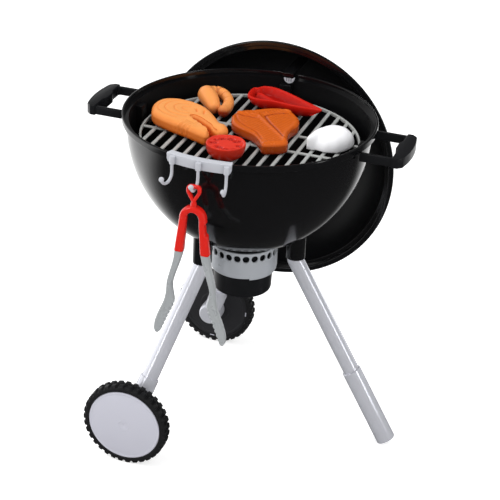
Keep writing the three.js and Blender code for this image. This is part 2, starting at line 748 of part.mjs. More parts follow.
function legFoot() {
  const top = legPoint(rightLeg, footTopDepth);
  const start = legPoint(rightLeg, depthAfter(footTopDepth, -OVERRUN));
  const boreEnd = legPoint(rightLeg, depthAfter(footTopDepth, FOOT_BORE));
  const sleeve = rod(sleeveRadius, top, legPoint(rightLeg, footEndDepth));
  return piece('leg_right_foot', sleeve.subtract(rod(boreFor(LEG_RADIUS), start, boreEnd)), finishes.leg);
}

const axleDepth = RIM_HEIGHT - WHEEL_RADIUS;
const kneeTopDepth = axleDepth - KNEE_RISE;
const kneeTurn = legPoint(rearLeg, depthAfter(kneeTopDepth, KNEE_BORE));
const axleX = kneeTurn.x - AXLE_OFFSET;
const bossFace = kneeTurn.y + BOSS_OFFSET; // outer end of a boss from the middle plane

// Knee of a wheel leg: a sleeve on the tube that turns down to the boss for the axle
function knee(name, azimuth, side) {
  const top = legPoint(azimuth, kneeTopDepth);
  const start = legPoint(azimuth, depthAfter(kneeTopDepth, -OVERRUN));
  const boreEnd = legPoint(azimuth, depthAfter(kneeTopDepth, KNEE_BORE));
  const bossMiddle = at(axleX, side * (bossFace - BOSS_LENGTH / 2), -axleDepth);
  const innerEnd = bossFace - BOSS_LENGTH;
  const bossProfile = [
    [0, innerEnd],
    [BOSS_RADIUS - BOSS_ROUND, innerEnd],
    [BOSS_RADIUS - BOSS_ROUND / 4, innerEnd + BOSS_ROUND / 4],
    [BOSS_RADIUS, innerEnd + BOSS_ROUND],
    [BOSS_RADIUS, bossFace],
    [0, bossFace],
  ];
  const route = bend(top, boreEnd, bossMiddle, sleeveRadius, ELBOW_STEPS);
  const body = tube(route, route.map(() => sleeveRadius)).add(wheelwise(bossProfile, side));
  const bores = union([
    rod(boreFor(LEG_RADIUS), start, boreEnd),
    rod(boreFor(AXLE_RADIUS), axlePoint(side, bossFace + OVERRUN), axlePoint(side, bossFace - BOSS_BORE)),
  ]);
  return piece(name, body.subtract(bores), finishes.leg);
}

function axlePoint(side, distance) {
  return at(axleX, side * distance, -axleDepth);
}

// Profile of radius and distance from the middle plane, turned round the axle of one side
function wheelwise(profile, side, sides = ROD_SIDES) {
  const geometry = turned(profile, sides);
  geometry.rotateX((-side * Math.PI) / 2);
  geometry.translate(axleX, 0, -axleDepth);
  return solid(geometry);
}

const tyreInner = bossFace + TYRE_INSET;
const tyreOuter = tyreInner + TYRE_WIDTH;
const capInner = tyreOuter - CAP_THICKNESS;

function axle(name, side) {
  const headStart = capInner - GAP - AXLE_HEAD;
  const body = rod(AXLE_RADIUS, axlePoint(side, bossFace - BOSS_BORE + GAP), axlePoint(side, headStart));
  const head = rod(AXLE_HEAD_RADIUS, axlePoint(side, headStart), axlePoint(side, headStart + AXLE_HEAD));
  return piece(name, body.add(head), finishes.steel);
}

// Tyre: a ring section carried round the axle, with two rows of lugs that stand past each other
function tyre(name, side) {
  const seat = boreFor(HUB_RADIUS, WHEEL_SIDES);
  const middle = (tyreInner + tyreOuter) / 2;
  const wall = TREAD_RADIUS - TYRE_SHOULDER;
  const steps = LUG_STEPS * LUGS_PER_ROW;
  const corners = [];
  const sectionAt = (step) => {
    const inRow = (step % LUG_STEPS) < LUG_STEPS / 2;
    const near = inRow ? TREAD_RADIUS : WHEEL_RADIUS;
    const far = inRow ? WHEEL_RADIUS : TREAD_RADIUS;
    return [
      [seat, tyreInner],
      [wall, tyreInner],
      [near, tyreInner + TYRE_SHOULDER],
      [near, middle - GAP],
      [far, middle + GAP],
      [far, tyreOuter - TYRE_SHOULDER],
      [wall, tyreOuter],
      [seat, tyreOuter],
    ];
  };
  for (let step = 0; step < steps; step += 1) {
    const angle = (2 * Math.PI * (step - 1 / 2)) / steps - Math.PI / 2;
    for (const [radius, distance] of sectionAt(step)) {
      corners.push(radius * Math.cos(angle), side * distance, radius * Math.sin(angle));
    }
  }
  const count = sectionAt(0).length;
  const faces = [];
  for (let step = 0; step < steps; step += 1) {
    for (let i = 0; i < count; i += 1) {
      const a = step * count + i;
      const b = step * count + ((i + 1) % count);
      const c = ((step + 1) % steps) * count + i;
      const d = ((step + 1) % steps) * count + ((i + 1) % count);
      if (side > 0) faces.push(a, b, d, a, d, c);
      else faces.push(a, d, b, a, c, d);
    }
  }
  const geometry = new THREE.BufferGeometry();
  geometry.setAttribute('position', new THREE.Float32BufferAttribute(corners, 3));
  geometry.setIndex(faces);
  geometry.translate(axleX, 0, -axleDepth);
  return piece(name, solid(geometry), finishes.tyre);
}

function clipBlock(side, spare) {
  const start = tyreInner + HUB_INSET + GAP - spare;
  const end = capInner + CAP_THICKNESS / 2;
  const outerEdge = HUB_RADIUS + spare;
  const innerEdge = HUB_RADIUS - CLIP_THICKNESS - spare;
  const half = CLIP_WIDTH / 2 + spare;
  const clips = [];
  for (let i = 0; i < CLIP_COUNT; i += 1) {
    const geometry = new THREE.BoxGeometry(outerEdge - innerEdge, end - start, 2 * half);
    geometry.translate((innerEdge + outerEdge) / 2, (side * (start + end)) / 2, 0);
    geometry.rotateY(THREE.MathUtils.degToRad(-CLIP_PHASE - (360 * i) / CLIP_COUNT));
    geometry.translate(axleX, 0, -axleDepth);
    clips.push(solid(geometry));
  }
  return union(clips);
}

function hub(name, side) {
  const web = tyreInner + HUB_INSET;
  const rimEnd = capInner - GAP;
  const bossEnd = rimEnd - AXLE_HEAD - GAP;
  const bore = boreFor(AXLE_RADIUS);
  const join = (bore + HUB_BOSS_RADIUS) / 2;
  const dish = wheelwise([
    [join, web],
    [HUB_RADIUS, web],
    [HUB_RADIUS, rimEnd],
    [HUB_RADIUS - HUB_RIM_WALL, rimEnd],
    [HUB_RADIUS - HUB_RIM_WALL, web + HUB_WEB],
    [join, web + HUB_WEB],
    [join, web],
  ], side, WHEEL_SIDES);
  const boss = wheelwise([
    [bore, bossFace + GAP],
    [HUB_BOSS_RADIUS, bossFace + GAP],
    [HUB_BOSS_RADIUS, bossEnd],
    [bore, bossEnd],
    [bore, bossFace + GAP],
  ], side);
  return piece(name, dish.add(boss).subtract(clipBlock(side, GAP)), finishes.hub);
}

function cap(name, side) {
  const face = tyreOuter;
  const disc = wheelwise([
    [0, capInner],
    [HUB_RADIUS, capInner],
    [HUB_RADIUS, face - CAP_EDGE],
    [HUB_RADIUS - CAP_EDGE, face],
    [0, face],
  ], side, WHEEL_SIDES);
  const ring = wheelwise([
    [CAP_RING_RADIUS - CAP_RING, capInner + CAP_RING],
    [CAP_RING_RADIUS + CAP_RING, capInner + CAP_RING],
    [CAP_RING_RADIUS, face + CAP_RING],
    [CAP_RING_RADIUS - CAP_RING, capInner + CAP_RING],
  ], side);
  return piece(name, union([disc, ring, clipBlock(side, 0)]), finishes.cap);
}

// Band between two radii and two azimuths, raised between two heights
function band(inner, outer, start, end, bottom, top) {
  const from = THREE.MathUtils.degToRad(start);
  const to = THREE.MathUtils.degToRad(end);
  const plan = new THREE.Shape();
  plan.absarc(0, 0, outer, from, to, false);
  plan.absarc(0, 0, inner, to, from, true);
  return solid(raise(plan, bottom, top));
}

// Hook of bent wire in the plane of an azimuth: boss on the rail, shank, half turn and ball
function hook(azimuth) {
  const bendTop = -HOOK_DEPTH + HOOK_BEND;
  const shank = RIM_RADIUS + HOOK_STANDOFF;
  const centre = shank + HOOK_BEND;
  const route = [onRing(shank, azimuth, -RAIL_TOP)];
  const turn = THREE.MathUtils.degToRad(180 - HOOK_TIP_ANGLE);
  for (let i = 0; i <= BEND_STEPS; i += 1) {
    const angle = Math.PI + (turn * i) / BEND_STEPS;
    route.push(onRing(centre + HOOK_BEND * Math.cos(angle), azimuth, bendTop + HOOK_BEND * Math.sin(angle)));
  }
  const bossTop = onRing(shank, azimuth, GAP);
  const boss = rod(HOOK_BOSS_RADIUS, bossTop, onRing(shank, azimuth, -RAIL_DROP), HOLE_SIDES);
  const wire = tube(route, route.map(() => HOOK_WIRE / 2), WIRE_SIDES);
  return union([wire, boss, ball(HOOK_BALL_RADIUS, route[route.length - 1], HOLE_SIDES)]);
}

function hookRail() {
  const inner = RIM_RADIUS + GAP;
  const outer = inner + RAIL_THICKNESS;
  const lipOuter = rodFor(RIM_RADIUS - COLLAR_THICKNESS, BOWL_SIDES);
  const top = GAP + RAIL_TOP;
  const skirt = band(inner, outer, RAIL_START, RAIL_END, -RAIL_DROP, top);
  const bridge = band(lipOuter - RAIL_LIP, outer, RAIL_START, RAIL_END, GAP, top);
  const lip = band(lipOuter - RAIL_LIP, lipOuter, RAIL_START, RAIL_END, -RAIL_LIP_DROP, top);
  const half = THREE.MathUtils.degToRad((RAIL_END - RAIL_START) / 2);
  const reach = outer * Math.sin(half);
  const front = new THREE.Shape();
  front.moveTo(-reach, top);
  front.lineTo(-reach, -RAIL_DROP + RAIL_CORNER);
  front.quadraticCurveTo(-reach, -RAIL_DROP, -reach + RAIL_CORNER, -RAIL_DROP);
  front.lineTo(reach - RAIL_CORNER, -RAIL_DROP);
  front.quadraticCurveTo(reach, -RAIL_DROP, reach, -RAIL_DROP + RAIL_CORNER);
  front.lineTo(reach, top);
  const mask = plate(front, 4 * RIM_RADIUS);
  mask.rotateZ(THREE.MathUtils.degToRad((RAIL_START + RAIL_END) / 2 + 90));
  const hooks = [HOOK_AZIMUTH_LEFT, HOOK_AZIMUTH_MIDDLE, HOOK_AZIMUTH_RIGHT].map((azimuth) => hook(azimuth));
  const rail = union([skirt, bridge, lip]).intersect(solid(mask));
  return piece('hook_rail', union([rail, ...hooks]), finishes.silver);
}

// Tongs, drawn about the middle of the hook's wire where they hang; X across, Z up
const wireRadius = HOOK_WIRE / 2;
const innerBend = HOOK_BEND - wireRadius;
const bendSag = innerBend - Math.sqrt(innerBend ** 2 - (RING_THICKNESS / 2) ** 2);
const ringHoleTop = wireRadius + bendSag + GAP;
const pivotX = (ARCH_OUTER + ARCH_INNER) / 2;
const knuckle = (ARCH_OUTER - ARCH_INNER) / 2;

function tongsBow() {
  const holeBottom = ringHoleTop - RING_HOLE_HEIGHT;
  const ringTop = ringHoleTop + RING_BAR;
  const ring = new THREE.Shape();
  ring.moveTo(-NECK_HALF, -ARCH_DROP + ARCH_INNER);
  ring.lineTo(-NECK_HALF, holeBottom - RING_BAR / 2);
  ring.lineTo(-RING_HALF_WIDTH, ringHoleTop - RING_HALF_WIDTH / 2);
  ring.quadraticCurveTo(-RING_HALF_WIDTH, ringTop, 0, ringTop);
  ring.quadraticCurveTo(RING_HALF_WIDTH, ringTop, RING_HALF_WIDTH, ringHoleTop - RING_HALF_WIDTH / 2);
  ring.lineTo(NECK_HALF, holeBottom - RING_BAR / 2);
  ring.lineTo(NECK_HALF, -ARCH_DROP + ARCH_INNER);
  const hole = new THREE.Path();
  hole.moveTo(0, holeBottom);
  hole.lineTo(RING_HOLE_HALF, ringHoleTop - RING_HOLE_HALF);
  hole.absarc(0, ringHoleTop - RING_HOLE_HALF, RING_HOLE_HALF, 0, Math.PI, false);
  hole.lineTo(0, holeBottom);
  ring.holes.push(hole);
  const arch = new THREE.Shape();
  arch.absarc(0, -ARCH_DROP, ARCH_OUTER, 0, Math.PI, false);
  arch.absarc(0, -ARCH_DROP, ARCH_INNER, Math.PI, 0, true);
  const archGap = rod(ARCH_INNER, at(0, -TONGS_THICKNESS, -ARCH_DROP), at(0, TONGS_THICKNESS, -ARCH_DROP));
  let body = solid(plate(ring, RING_THICKNESS, RING_THICKNESS / 6, 1)).subtract(archGap);
  body = body.add(solid(plate(arch, TONGS_THICKNESS, TONGS_EDGE)));
  for (const side of [-1, 1]) {
    const from = at(side * pivotX, -TONGS_THICKNESS, -ARCH_DROP);
    const to = at(side * pivotX, TONGS_THICKNESS, -ARCH_DROP);
    body = body.subtract(rod(boreFor(knuckle, RING_SIDES), from, to, RING_SIDES));
  }
  return piece('tongs_bow', body, finishes.red);
}

const armEndZ = -ARCH_DROP - ARM_LENGTH;
const armEndX = pivotX + ARM_LEAN;

function tenonBlock(side, spare) {
  const half = TENON_HALF + spare;
  const depth = TENON_THICKNESS / 2 + spare;
  const low = armEndZ - GAP - TENON_ROOT;
  const high = armEndZ + TENON_LENGTH + spare;
  const middle = side * armEndX;
  return block(middle - half, middle + half, -depth, depth, low, high);
}

function tongsArm(name, side) {
  const lower = armEndX + ARM_END_WIDTH / 2;
  const upper = pivotX + knuckle;
  const slope = (lower - upper) / ARM_LENGTH;
  const across = (drop) => upper + slope * drop;
  const arm = new THREE.Shape();
  arm.moveTo(side * upper, -ARCH_DROP);
  if (side > 0) {
    arm.lineTo(side * across(ARM_NOTCH_TOP), -ARCH_DROP - ARM_NOTCH_TOP);
    arm.lineTo(side * (across(ARM_NOTCH_TOP) - ARM_NOTCH), -ARCH_DROP - ARM_NOTCH_TOP - ARM_NOTCH);
    arm.lineTo(side * (across(ARM_NOTCH_BOTTOM) - ARM_NOTCH), -ARCH_DROP - ARM_NOTCH_BOTTOM + ARM_NOTCH);
    arm.lineTo(side * across(ARM_NOTCH_BOTTOM), -ARCH_DROP - ARM_NOTCH_BOTTOM);
  }
  arm.lineTo(side * lower, armEndZ);
  arm.lineTo(side * (armEndX - ARM_END_WIDTH / 2), armEndZ);
  arm.lineTo(side * (pivotX - knuckle), -ARCH_DROP);
  const pinFront = at(side * pivotX, -TONGS_THICKNESS / 2, -ARCH_DROP);
  const pinBack = at(side * pivotX, TONGS_THICKNESS / 2, -ARCH_DROP);
  const pin = rod(knuckle, pinFront, pinBack, RING_SIDES);
  const body = solid(plate(arm, TONGS_THICKNESS, TONGS_EDGE)).add(pin);
  return piece(name, body.subtract(tenonBlock(side, GAP)), finishes.red);
}

function tongsJaw(name, side) {
  const top = armEndZ - GAP;
  const place = ([down, across]) => [side * across * JAW_WIDTH, top - down * JAW_LENGTH];
  const jaw = outline([...JAW_OUTER_SHARES, ...JAW_INNER_SHARES].map(place));
  let body = solid(plate(jaw, JAW_THICKNESS, JAW_EDGE, 1));
  const [low, high] = JAW_INNER_SHARES.slice(1, 3).map(place);
  for (let i = 0; i < TOOTH_COUNT; i += 1) {
    const share = (i + 1 / 2) / TOOTH_COUNT;
    const x = THREE.MathUtils.lerp(high[0], low[0], share);
    const z = THREE.MathUtils.lerp(high[1], low[1], share);
    body = body.subtract(rod(TOOTH_RADIUS, at(x, -JAW_THICKNESS, z), at(x, JAW_THICKNESS, z), WIRE_SIDES));
  }
  return piece(name, body.add(tenonBlock(side, 0)), finishes.jaw);
}

// Lid, drawn upright with its mouth down on Z = 0, and hung by its group
const mouthRadius = RIM_RADIUS + LID_MOUTH_CLEARANCE;
const lidInner = mouthRadius - LID_STEP;
const lidRadius = mouthRadius + LID_FLANGE_WIDTH;
const lidY = RIM_RADIUS + LID_STANDOFF;
const lidDepth = lidInner - LID_RISE; // of its middle below the rim

const domeTop = LID_SHOULDER + LID_DOME + LID_WALL;

function domeCurve(radius, height, base, top) {
  return bowlCurve(radius, height, -base, -top).map(([across, down]) => [across, -down]);
}

function lidShell() {
  const outerDome = domeCurve(lidInner + LID_WALL, LID_DOME + LID_WALL, LID_SHOULDER, domeTop);
  const innerDome = domeCurve(lidInner, LID_DOME, LID_SHOULDER, LID_SHOULDER + LID_DOME);
  const body = revolve([
    [mouthRadius, 0],
    [lidRadius, 0],
    [lidRadius, LID_FLANGE],
    [mouthRadius + LID_WALL, LID_SHOULDER],
    ...outerDome,
    ...innerDome.reverse(),
    [lidInner, LID_SEAT_DEPTH],
    [mouthRadius, LID_SEAT_DEPTH],
    [mouthRadius, 0],
  ], BOWL_SIDES);
  return piece('lid_shell', body, finishes.bowlBlack);
}

// Room inside the lid, smaller by a margin, and open far beyond its mouth
function lidRoom(margin) {
  const radius = lidInner - margin;
  const dome = domeCurve(radius, LID_DOME - margin, LID_SHOULDER, LID_SHOULDER + LID_DOME - margin);
  const geometry = turned([[0, -RIM_RADIUS], [radius, -RIM_RADIUS], ...dome], BOWL_SIDES);
  geometry.rotateX(THREE.MathUtils.degToRad(-90 - LID_TILT));
  geometry.translate(LID_X, lidY, -lidDepth);
  return solid(geometry);
}

// Hook of the lid, drawn where it lies on the rim
function lidHook() {
  const half = LID_HOOK_WIDTH / 2;
  const back = Math.sqrt(rodFor(wallRadius - WALL, BOWL_SIDES) ** 2 - (LID_HOOK_X + half) ** 2);
  const front = back - LID_HOOK_THICKNESS;
  const top = GAP + LID_HOOK_THICKNESS;
  const domeEnd = lidY + LID_SHOULDER + LID_DOME;
  const strap = block(LID_HOOK_X - half, LID_HOOK_X + half, front, domeEnd, GAP, top);
  const tab = new THREE.Shape();
  tab.moveTo(LID_HOOK_X - half, top);
  tab.lineTo(LID_HOOK_X - half, half - LID_HOOK_TAB);
  tab.absarc(LID_HOOK_X, half - LID_HOOK_TAB, half, Math.PI, 2 * Math.PI, false);
  tab.lineTo(LID_HOOK_X + half, top);
  const tabPlate = plate(tab, LID_HOOK_THICKNESS);
  tabPlate.translate(0, (front + back) / 2, 0);
  const footLeft = LID_HOOK_X - LID_HOOK_FOOT / 2;
  const footRight = LID_HOOK_X + LID_HOOK_FOOT / 2;
  const footBox = block(footLeft, footRight, lidY + LID_SHOULDER, domeEnd, top - LID_HOOK_FOOT, top);
  const foot = lidRoom(GAP).subtract(lidRoom(GAP + LID_HOOK_THICKNESS)).intersect(footBox);
  const body = union([strap.intersect(lidRoom(GAP)), solid(tabPlate), foot]);
  return piece('lid_hook', body, finishes.silver);
}

// Outside of the lid's dome with the gap, which cuts what stands on it
function domeForm() {
  const radius = lidInner + LID_WALL + GAP;
  const dome = domeCurve(radius, LID_DOME + LID_WALL + GAP, LID_SHOULDER, domeTop + GAP);
  return revolve([[0, 0], [radius, 0], ...dome], BOWL_SIDES);
}

function lidHandle() {
  const half = LID_HANDLE_LENGTH / 2;
  const inner = half - LID_HANDLE_POST;
  const top = domeTop + LID_HANDLE_RISE;
  const under = top - LID_HANDLE_BAR;
  const foot = domeTop - LID_HANDLE_POST;
  const grip = new THREE.Shape();
  grip.moveTo(-half, foot);
  grip.lineTo(-half, under);
  grip.quadraticCurveTo(-half, top, -half + LID_HANDLE_BAR, top);
  grip.lineTo(half - LID_HANDLE_BAR, top);
  grip.quadraticCurveTo(half, top, half, under);
  grip.lineTo(half, foot);
  grip.lineTo(inner, foot);
  grip.lineTo(inner, under - LID_HANDLE_BAR);
  grip.quadraticCurveTo(inner, under, inner - LID_HANDLE_BAR, under);
  grip.lineTo(LID_HANDLE_BAR - inner, under);
  grip.quadraticCurveTo(-inner, under, -inner, under - LID_HANDLE_BAR);
  grip.lineTo(-inner, foot);
  const body = solid(plate(grip, LID_HANDLE_DEPTH, LID_HANDLE_EDGE)).subtract(domeForm());
  return piece('lid_handle', body, finishes.mattBlack);
}

function lidVent() {
  const radius = lidInner + LID_WALL;
  const height = LID_DOME + LID_WALL;
  const rise = Math.sqrt(1 - (LID_VENT_PLACE / radius) ** 2) * height;
  const lean = Math.atan2(LID_VENT_PLACE * height ** 2, rise * radius ** 2);
  const disc = rod(LID_VENT_RADIUS, at(0, 0, -LID_VENT_THICKNESS), at(0, 0, LID_VENT_THICKNESS), RING_SIDES);
  let body = disc.add(rod(LID_VENT_HOLE_RADIUS, at(0, 0, 0), at(0, 0, 3 * LID_VENT_THICKNESS)));
  for (let i = 0; i < LID_VENT_HOLES; i += 1) {
    const low = onRing(LID_VENT_HOLE_PLACE, (360 * i) / LID_VENT_HOLES, -OVERRUN);
    const high = onRing(LID_VENT_HOLE_PLACE, (360 * i) / LID_VENT_HOLES, OVERRUN);
    body = body.subtract(rod(LID_VENT_HOLE_RADIUS, low, high, HOLE_SIDES));
  }
  const turn = new THREE.Matrix4().makeRotationX(-lean);
  turn.setPosition(0, LID_VENT_PLACE, LID_SHOULDER + rise + LID_VENT_THICKNESS);
  return piece('lid_vent', body.transform(turn.toArray()).subtract(domeForm()), finishes.silver);
}

// Foods
const foodBase = -GRATE_DEPTH + GAP;

// Smooth closed line through shares of a length and width
function smooth(shares, length, width, perPoint = 2) {
  const points = shares.map(([x, y]) => at(x * length, y * width, 0));
  const curve = new THREE.CatmullRomCurve3(points, true, 'centripetal');
  const line = curve.getPoints(perPoint * shares.length).slice(0, -1);
  return line.map((point) => new THREE.Vector2(point.x, point.y));
}

// Closed body whose rings are one outline drawn in or out, each at its own height
function loft(points, rings) {
  const count = points.length;
  const corners = [];
  for (const [height, breadth] of rings) {
    for (const point of points) corners.push(point.x * breadth, point.y * breadth, height);
  }
  const faces = [];
  for (let ring = 0; ring < rings.length - 1; ring += 1) {
    for (let i = 0; i < count; i += 1) {
      const a = ring * count + i;
      const b = ring * count + ((i + 1) % count);
      faces.push(a, b, b + count, a, b + count, a + count);
    }
  }
  const last = (rings.length - 1) * count;
  for (const [a, b, c] of THREE.ShapeUtils.triangulateShape(points, [])) {
    faces.push(a, c, b, last + a, last + b, last + c);
  }
  const geometry = new THREE.BufferGeometry();
  geometry.setAttribute('position', new THREE.Float32BufferAttribute(corners, 3));
  geometry.setIndex(faces);
  return solid(geometry);
}

// Outline that runs against the clock, as a loft needs it
function counterclockwise(points) {
  return THREE.ShapeUtils.area(points) < 0 ? points.reverse() : points;
}

function food(name, body, material, x, y) {
  const mesh = piece(name, body, material);
  mesh.position.set(x, y, foodBase);
  return mesh;
}

function salmonSteak() {
  const plan = counterclockwise(smooth(SALMON_OUTLINE_SHARES, SALMON_LENGTH, SALMON_WIDTH));
  const body = loft(plan, SLICE_SIDE_SHARES.map(([up, out]) => [up * SALMON_HEIGHT, out]));
  return food('salmon_steak', body, finishes.salmon, SALMON_X, SALMON_Y);
}

function beefSteak() {
  const plan = counterclockwise(smooth(STEAK_OUTLINE_SHARES, STEAK_LENGTH, STEAK_WIDTH));
  let body = loft(plan, SLICE_SIDE_SHARES.map(([up, out]) => [up * STEAK_HEIGHT, out]));
  for (const line of BONE_LINE_SHARES) {
    const [from, to] = line.map(([x, y]) => at(x * STEAK_LENGTH, y * STEAK_WIDTH, STEAK_HEIGHT));
    body = body.subtract(rod(BONE_GROOVE_WIDTH / 2, from, to, WIRE_SIDES));
  }
  return food('beef_steak', body, finishes.steak, STEAK_X, STEAK_Y);
}

// Curled body whose thickness swells and shrinks, with a shallow waist at each joint of the shell
function prawn() {
  const line = PRAWN_LINE_SHARES.map(([x, y]) => at(x * PRAWN_LENGTH, y * PRAWN_WIDTH, 0));
  const curve = new THREE.CatmullRomCurve3(line);
  const steps = 2 * PRAWN_JOINTS;
  const route = [];
  const radii = [];
  for (let i = 0; i <= steps; i += 1) {
    const full = PRAWN_RADIUS * thicknessShare(i / steps);
    const end = i === 0 || i === steps ? PRAWN_END_SHARE : 1;
    const waist = i % 2 === 0 ? 1 : PRAWN_WAIST_SHARE;
    const centre = curve.getPointAt(i / steps);
    centre.z = full;
    route.push(centre);
    radii.push(full * end * waist);
  }
  return food('prawn', tube(route, radii, 2 * WIRE_SIDES), finishes.prawn, PRAWN_X, PRAWN_Y);
}

function thicknessShare(along) {
  const place = along * (PRAWN_THICKNESS_SHARES.length - 1);
  const before = Math.min(Math.floor(place), PRAWN_THICKNESS_SHARES.length - 2);
  const [low, high] = PRAWN_THICKNESS_SHARES.slice(before, before + 2);
  return THREE.MathUtils.lerp(low, high, place - before);
}

function tomatoHalf() {
  const side = [];
  for (let i = 0; i <= CURVE_STEPS; i += 1) {
    const angle = ((i / CURVE_STEPS) * Math.PI) / 2;
    const radius = TOMATO_BASE + (TOMATO_RADIUS - TOMATO_BASE) * Math.sin(angle);
    side.push([radius, TOMATO_HEIGHT * (1 - Math.cos(angle))]);
  }
  let body = revolve([[0, 0], ...side, [0, TOMATO_HEIGHT]], 4 * SEED_POCKETS);
  for (let i = 0; i < SEED_POCKETS; i += 1) {
    const geometry = new THREE.SphereGeometry(1, HOLE_SIDES, HOLE_SIDES / 2);
    geometry.scale(SEED_POCKET_LENGTH, SEED_POCKET_WIDTH, SEED_POCKET_DEPTH);
    geometry.translate(SEED_POCKET_PLACE, 0, TOMATO_HEIGHT);
    geometry.rotateZ((2 * Math.PI * i) / SEED_POCKETS);
    body = body.subtract(solid(geometry));
  }
  return food('tomato_half', body, finishes.tomato, TOMATO_X, TOMATO_Y);
}

function pepperHalf() {
  const plan = counterclockwise(smooth(PEPPER_OUTLINE_SHARES, PEPPER_LENGTH, PEPPER_WIDTH));
  const outer = loft(plan, PEPPER_SIDE_SHARES.map(([up, out]) => [up * PEPPER_HEIGHT, out]));
  const thin = 1 - (2 * PEPPER_WALL) / PEPPER_WIDTH;
  const hollow = loft(plan, [
    [PEPPER_WALL, thin * PEPPER_SIDE_SHARES[0][1]],
    [(PEPPER_HEIGHT + PEPPER_WALL) / 2, thin * PEPPER_SIDE_SHARES[2][1]],
    [PEPPER_HEIGHT, thin],
    [PEPPER_HEIGHT + OVERRUN, thin],
  ]);
  const y = STEAK_Y + (STEAK_WIDTH + PEPPER_WIDTH) / 2 + PEPPER_SPACING;
  return food('pepper_half', outer.subtract(hollow), finishes.pepper, PEPPER_X, y);
}

function onionHalf() {
  const plan = counterclockwise(smooth(ONION_OUTLINE_SHARES, ONION_LENGTH, ONION_WIDTH));
  const body = loft(plan, ONION_SIDE_SHARES.map(([up, out]) => [up * ONION_HEIGHT, out]));
  return food('onion_half', body, finishes.onion, ONION_X, ONION_Y);
}

// Assembly
const stand = new THREE.Group();
const tubeEnd = (topDepth, bore) => depthAfter(topDepth, bore) - GAP * Math.cos(splay);
stand.add(
  legTube('leg_right_tube', rightLeg, tubeEnd(footTopDepth, FOOT_BORE)),
  legTube('leg_front_tube', frontLeg, tubeEnd(kneeTopDepth, KNEE_BORE)),
  legTube('leg_rear_tube', rearLeg, tubeEnd(kneeTopDepth, KNEE_BORE)),
  legFoot(),
  knee('leg_front_knee', frontLeg, -1),
  knee('leg_rear_knee', rearLeg, 1),
  axle('axle_front', -1),
  axle('axle_rear', 1),
);

const wheels = new THREE.Group();
for (const [end, side] of [['front', -1], ['rear', 1]]) {
  wheels.add(tyre(`wheel_${end}_tyre`, side), hub(`wheel_${end}_hub`, side), cap(`wheel_${end}_cap`, side));
}

const kettle = new THREE.Group();
kettle.add(
  bowl(),
  handle('handle_left', -1),
  handle('handle_right', 1),
  ventDrum(),
  ashCollar('ash_collar_left', -1, COLLAR_LENGTH - COLLAR_SHORTER),
  ashCollar('ash_collar_right', 1, COLLAR_LENGTH),
  ashPot(),
  grate(),
  hookRail(),
);

const lid = new THREE.Group();
lid.add(lidShell(), lidHandle(), lidVent());
lid.rotation.x = THREE.MathUtils.degToRad(-90 - LID_TILT);
lid.position.set(LID_X, lidY, -lidDepth);

const tongs = new THREE.Group();
tongs.add(
  tongsBow(),
  tongsArm('tongs_arm_left', -1),
  tongsArm('tongs_arm_right', 1),
  tongsJaw('tongs_jaw_left', -1),
  tongsJaw('tongs_jaw_right', 1),
);
const hookMiddle = onRing(RIM_RADIUS + HOOK_STANDOFF + HOOK_BEND, HOOK_AZIMUTH_MIDDLE, -HOOK_DEPTH);
tongs.position.copy(hookMiddle);

const foods = new THREE.Group();
foods.add(salmonSteak(), prawn(), tomatoHalf(), beefSteak(), pepperHalf(), onionHalf());

const grill = new THREE.Group();
grill.add(stand, wheels, kettle, lid, lidHook(), tongs, foods);

// Set down with the middle of its floor area on the origin
const extent = new THREE.Box3().setFromObject(grill, true);
const middle = extent.getCenter(new THREE.Vector3());
grill.position.set(-middle.x, -middle.y, -extent.min.z);
grill.updateMatrixWorld(true);

export default grill;
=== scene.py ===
import json
import math

import bmesh
import bpy
from mathutils import Matrix, Vector
from mathutils.kdtree import KDTree

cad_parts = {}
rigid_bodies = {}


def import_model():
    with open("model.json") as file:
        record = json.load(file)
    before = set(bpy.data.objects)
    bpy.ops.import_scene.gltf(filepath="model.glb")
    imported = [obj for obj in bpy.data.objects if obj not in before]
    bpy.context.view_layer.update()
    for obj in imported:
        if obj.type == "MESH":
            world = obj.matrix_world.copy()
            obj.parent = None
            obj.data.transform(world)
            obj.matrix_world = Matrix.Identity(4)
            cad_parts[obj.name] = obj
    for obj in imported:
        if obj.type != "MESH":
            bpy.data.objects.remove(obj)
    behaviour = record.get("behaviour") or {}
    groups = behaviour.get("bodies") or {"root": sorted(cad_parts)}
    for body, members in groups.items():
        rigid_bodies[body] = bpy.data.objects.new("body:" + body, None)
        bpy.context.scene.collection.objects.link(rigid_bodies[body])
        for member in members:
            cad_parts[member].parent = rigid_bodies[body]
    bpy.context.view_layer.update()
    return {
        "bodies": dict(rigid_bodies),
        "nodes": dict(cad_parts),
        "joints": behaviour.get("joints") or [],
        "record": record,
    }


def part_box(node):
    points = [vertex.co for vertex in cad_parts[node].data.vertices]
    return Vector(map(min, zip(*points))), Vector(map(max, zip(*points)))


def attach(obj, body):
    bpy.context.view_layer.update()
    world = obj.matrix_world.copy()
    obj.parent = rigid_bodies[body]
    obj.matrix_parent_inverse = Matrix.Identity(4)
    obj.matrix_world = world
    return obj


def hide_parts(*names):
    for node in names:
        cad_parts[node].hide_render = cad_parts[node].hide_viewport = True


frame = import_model()

# Lengths are in millimetres from the middle of the bowl's rim: X along the handles, Y to the
# back, Z up. They become metres in the row's frame when a mesh is made.
MM = 0.001
GAP = 0.3
bowl_low, bowl_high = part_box("bowl")
RIM_MIDDLE = Vector(((bowl_low[0] + bowl_high[0]) / 2, (bowl_low[1] + bowl_high[1]) / 2, bowl_high[2]))

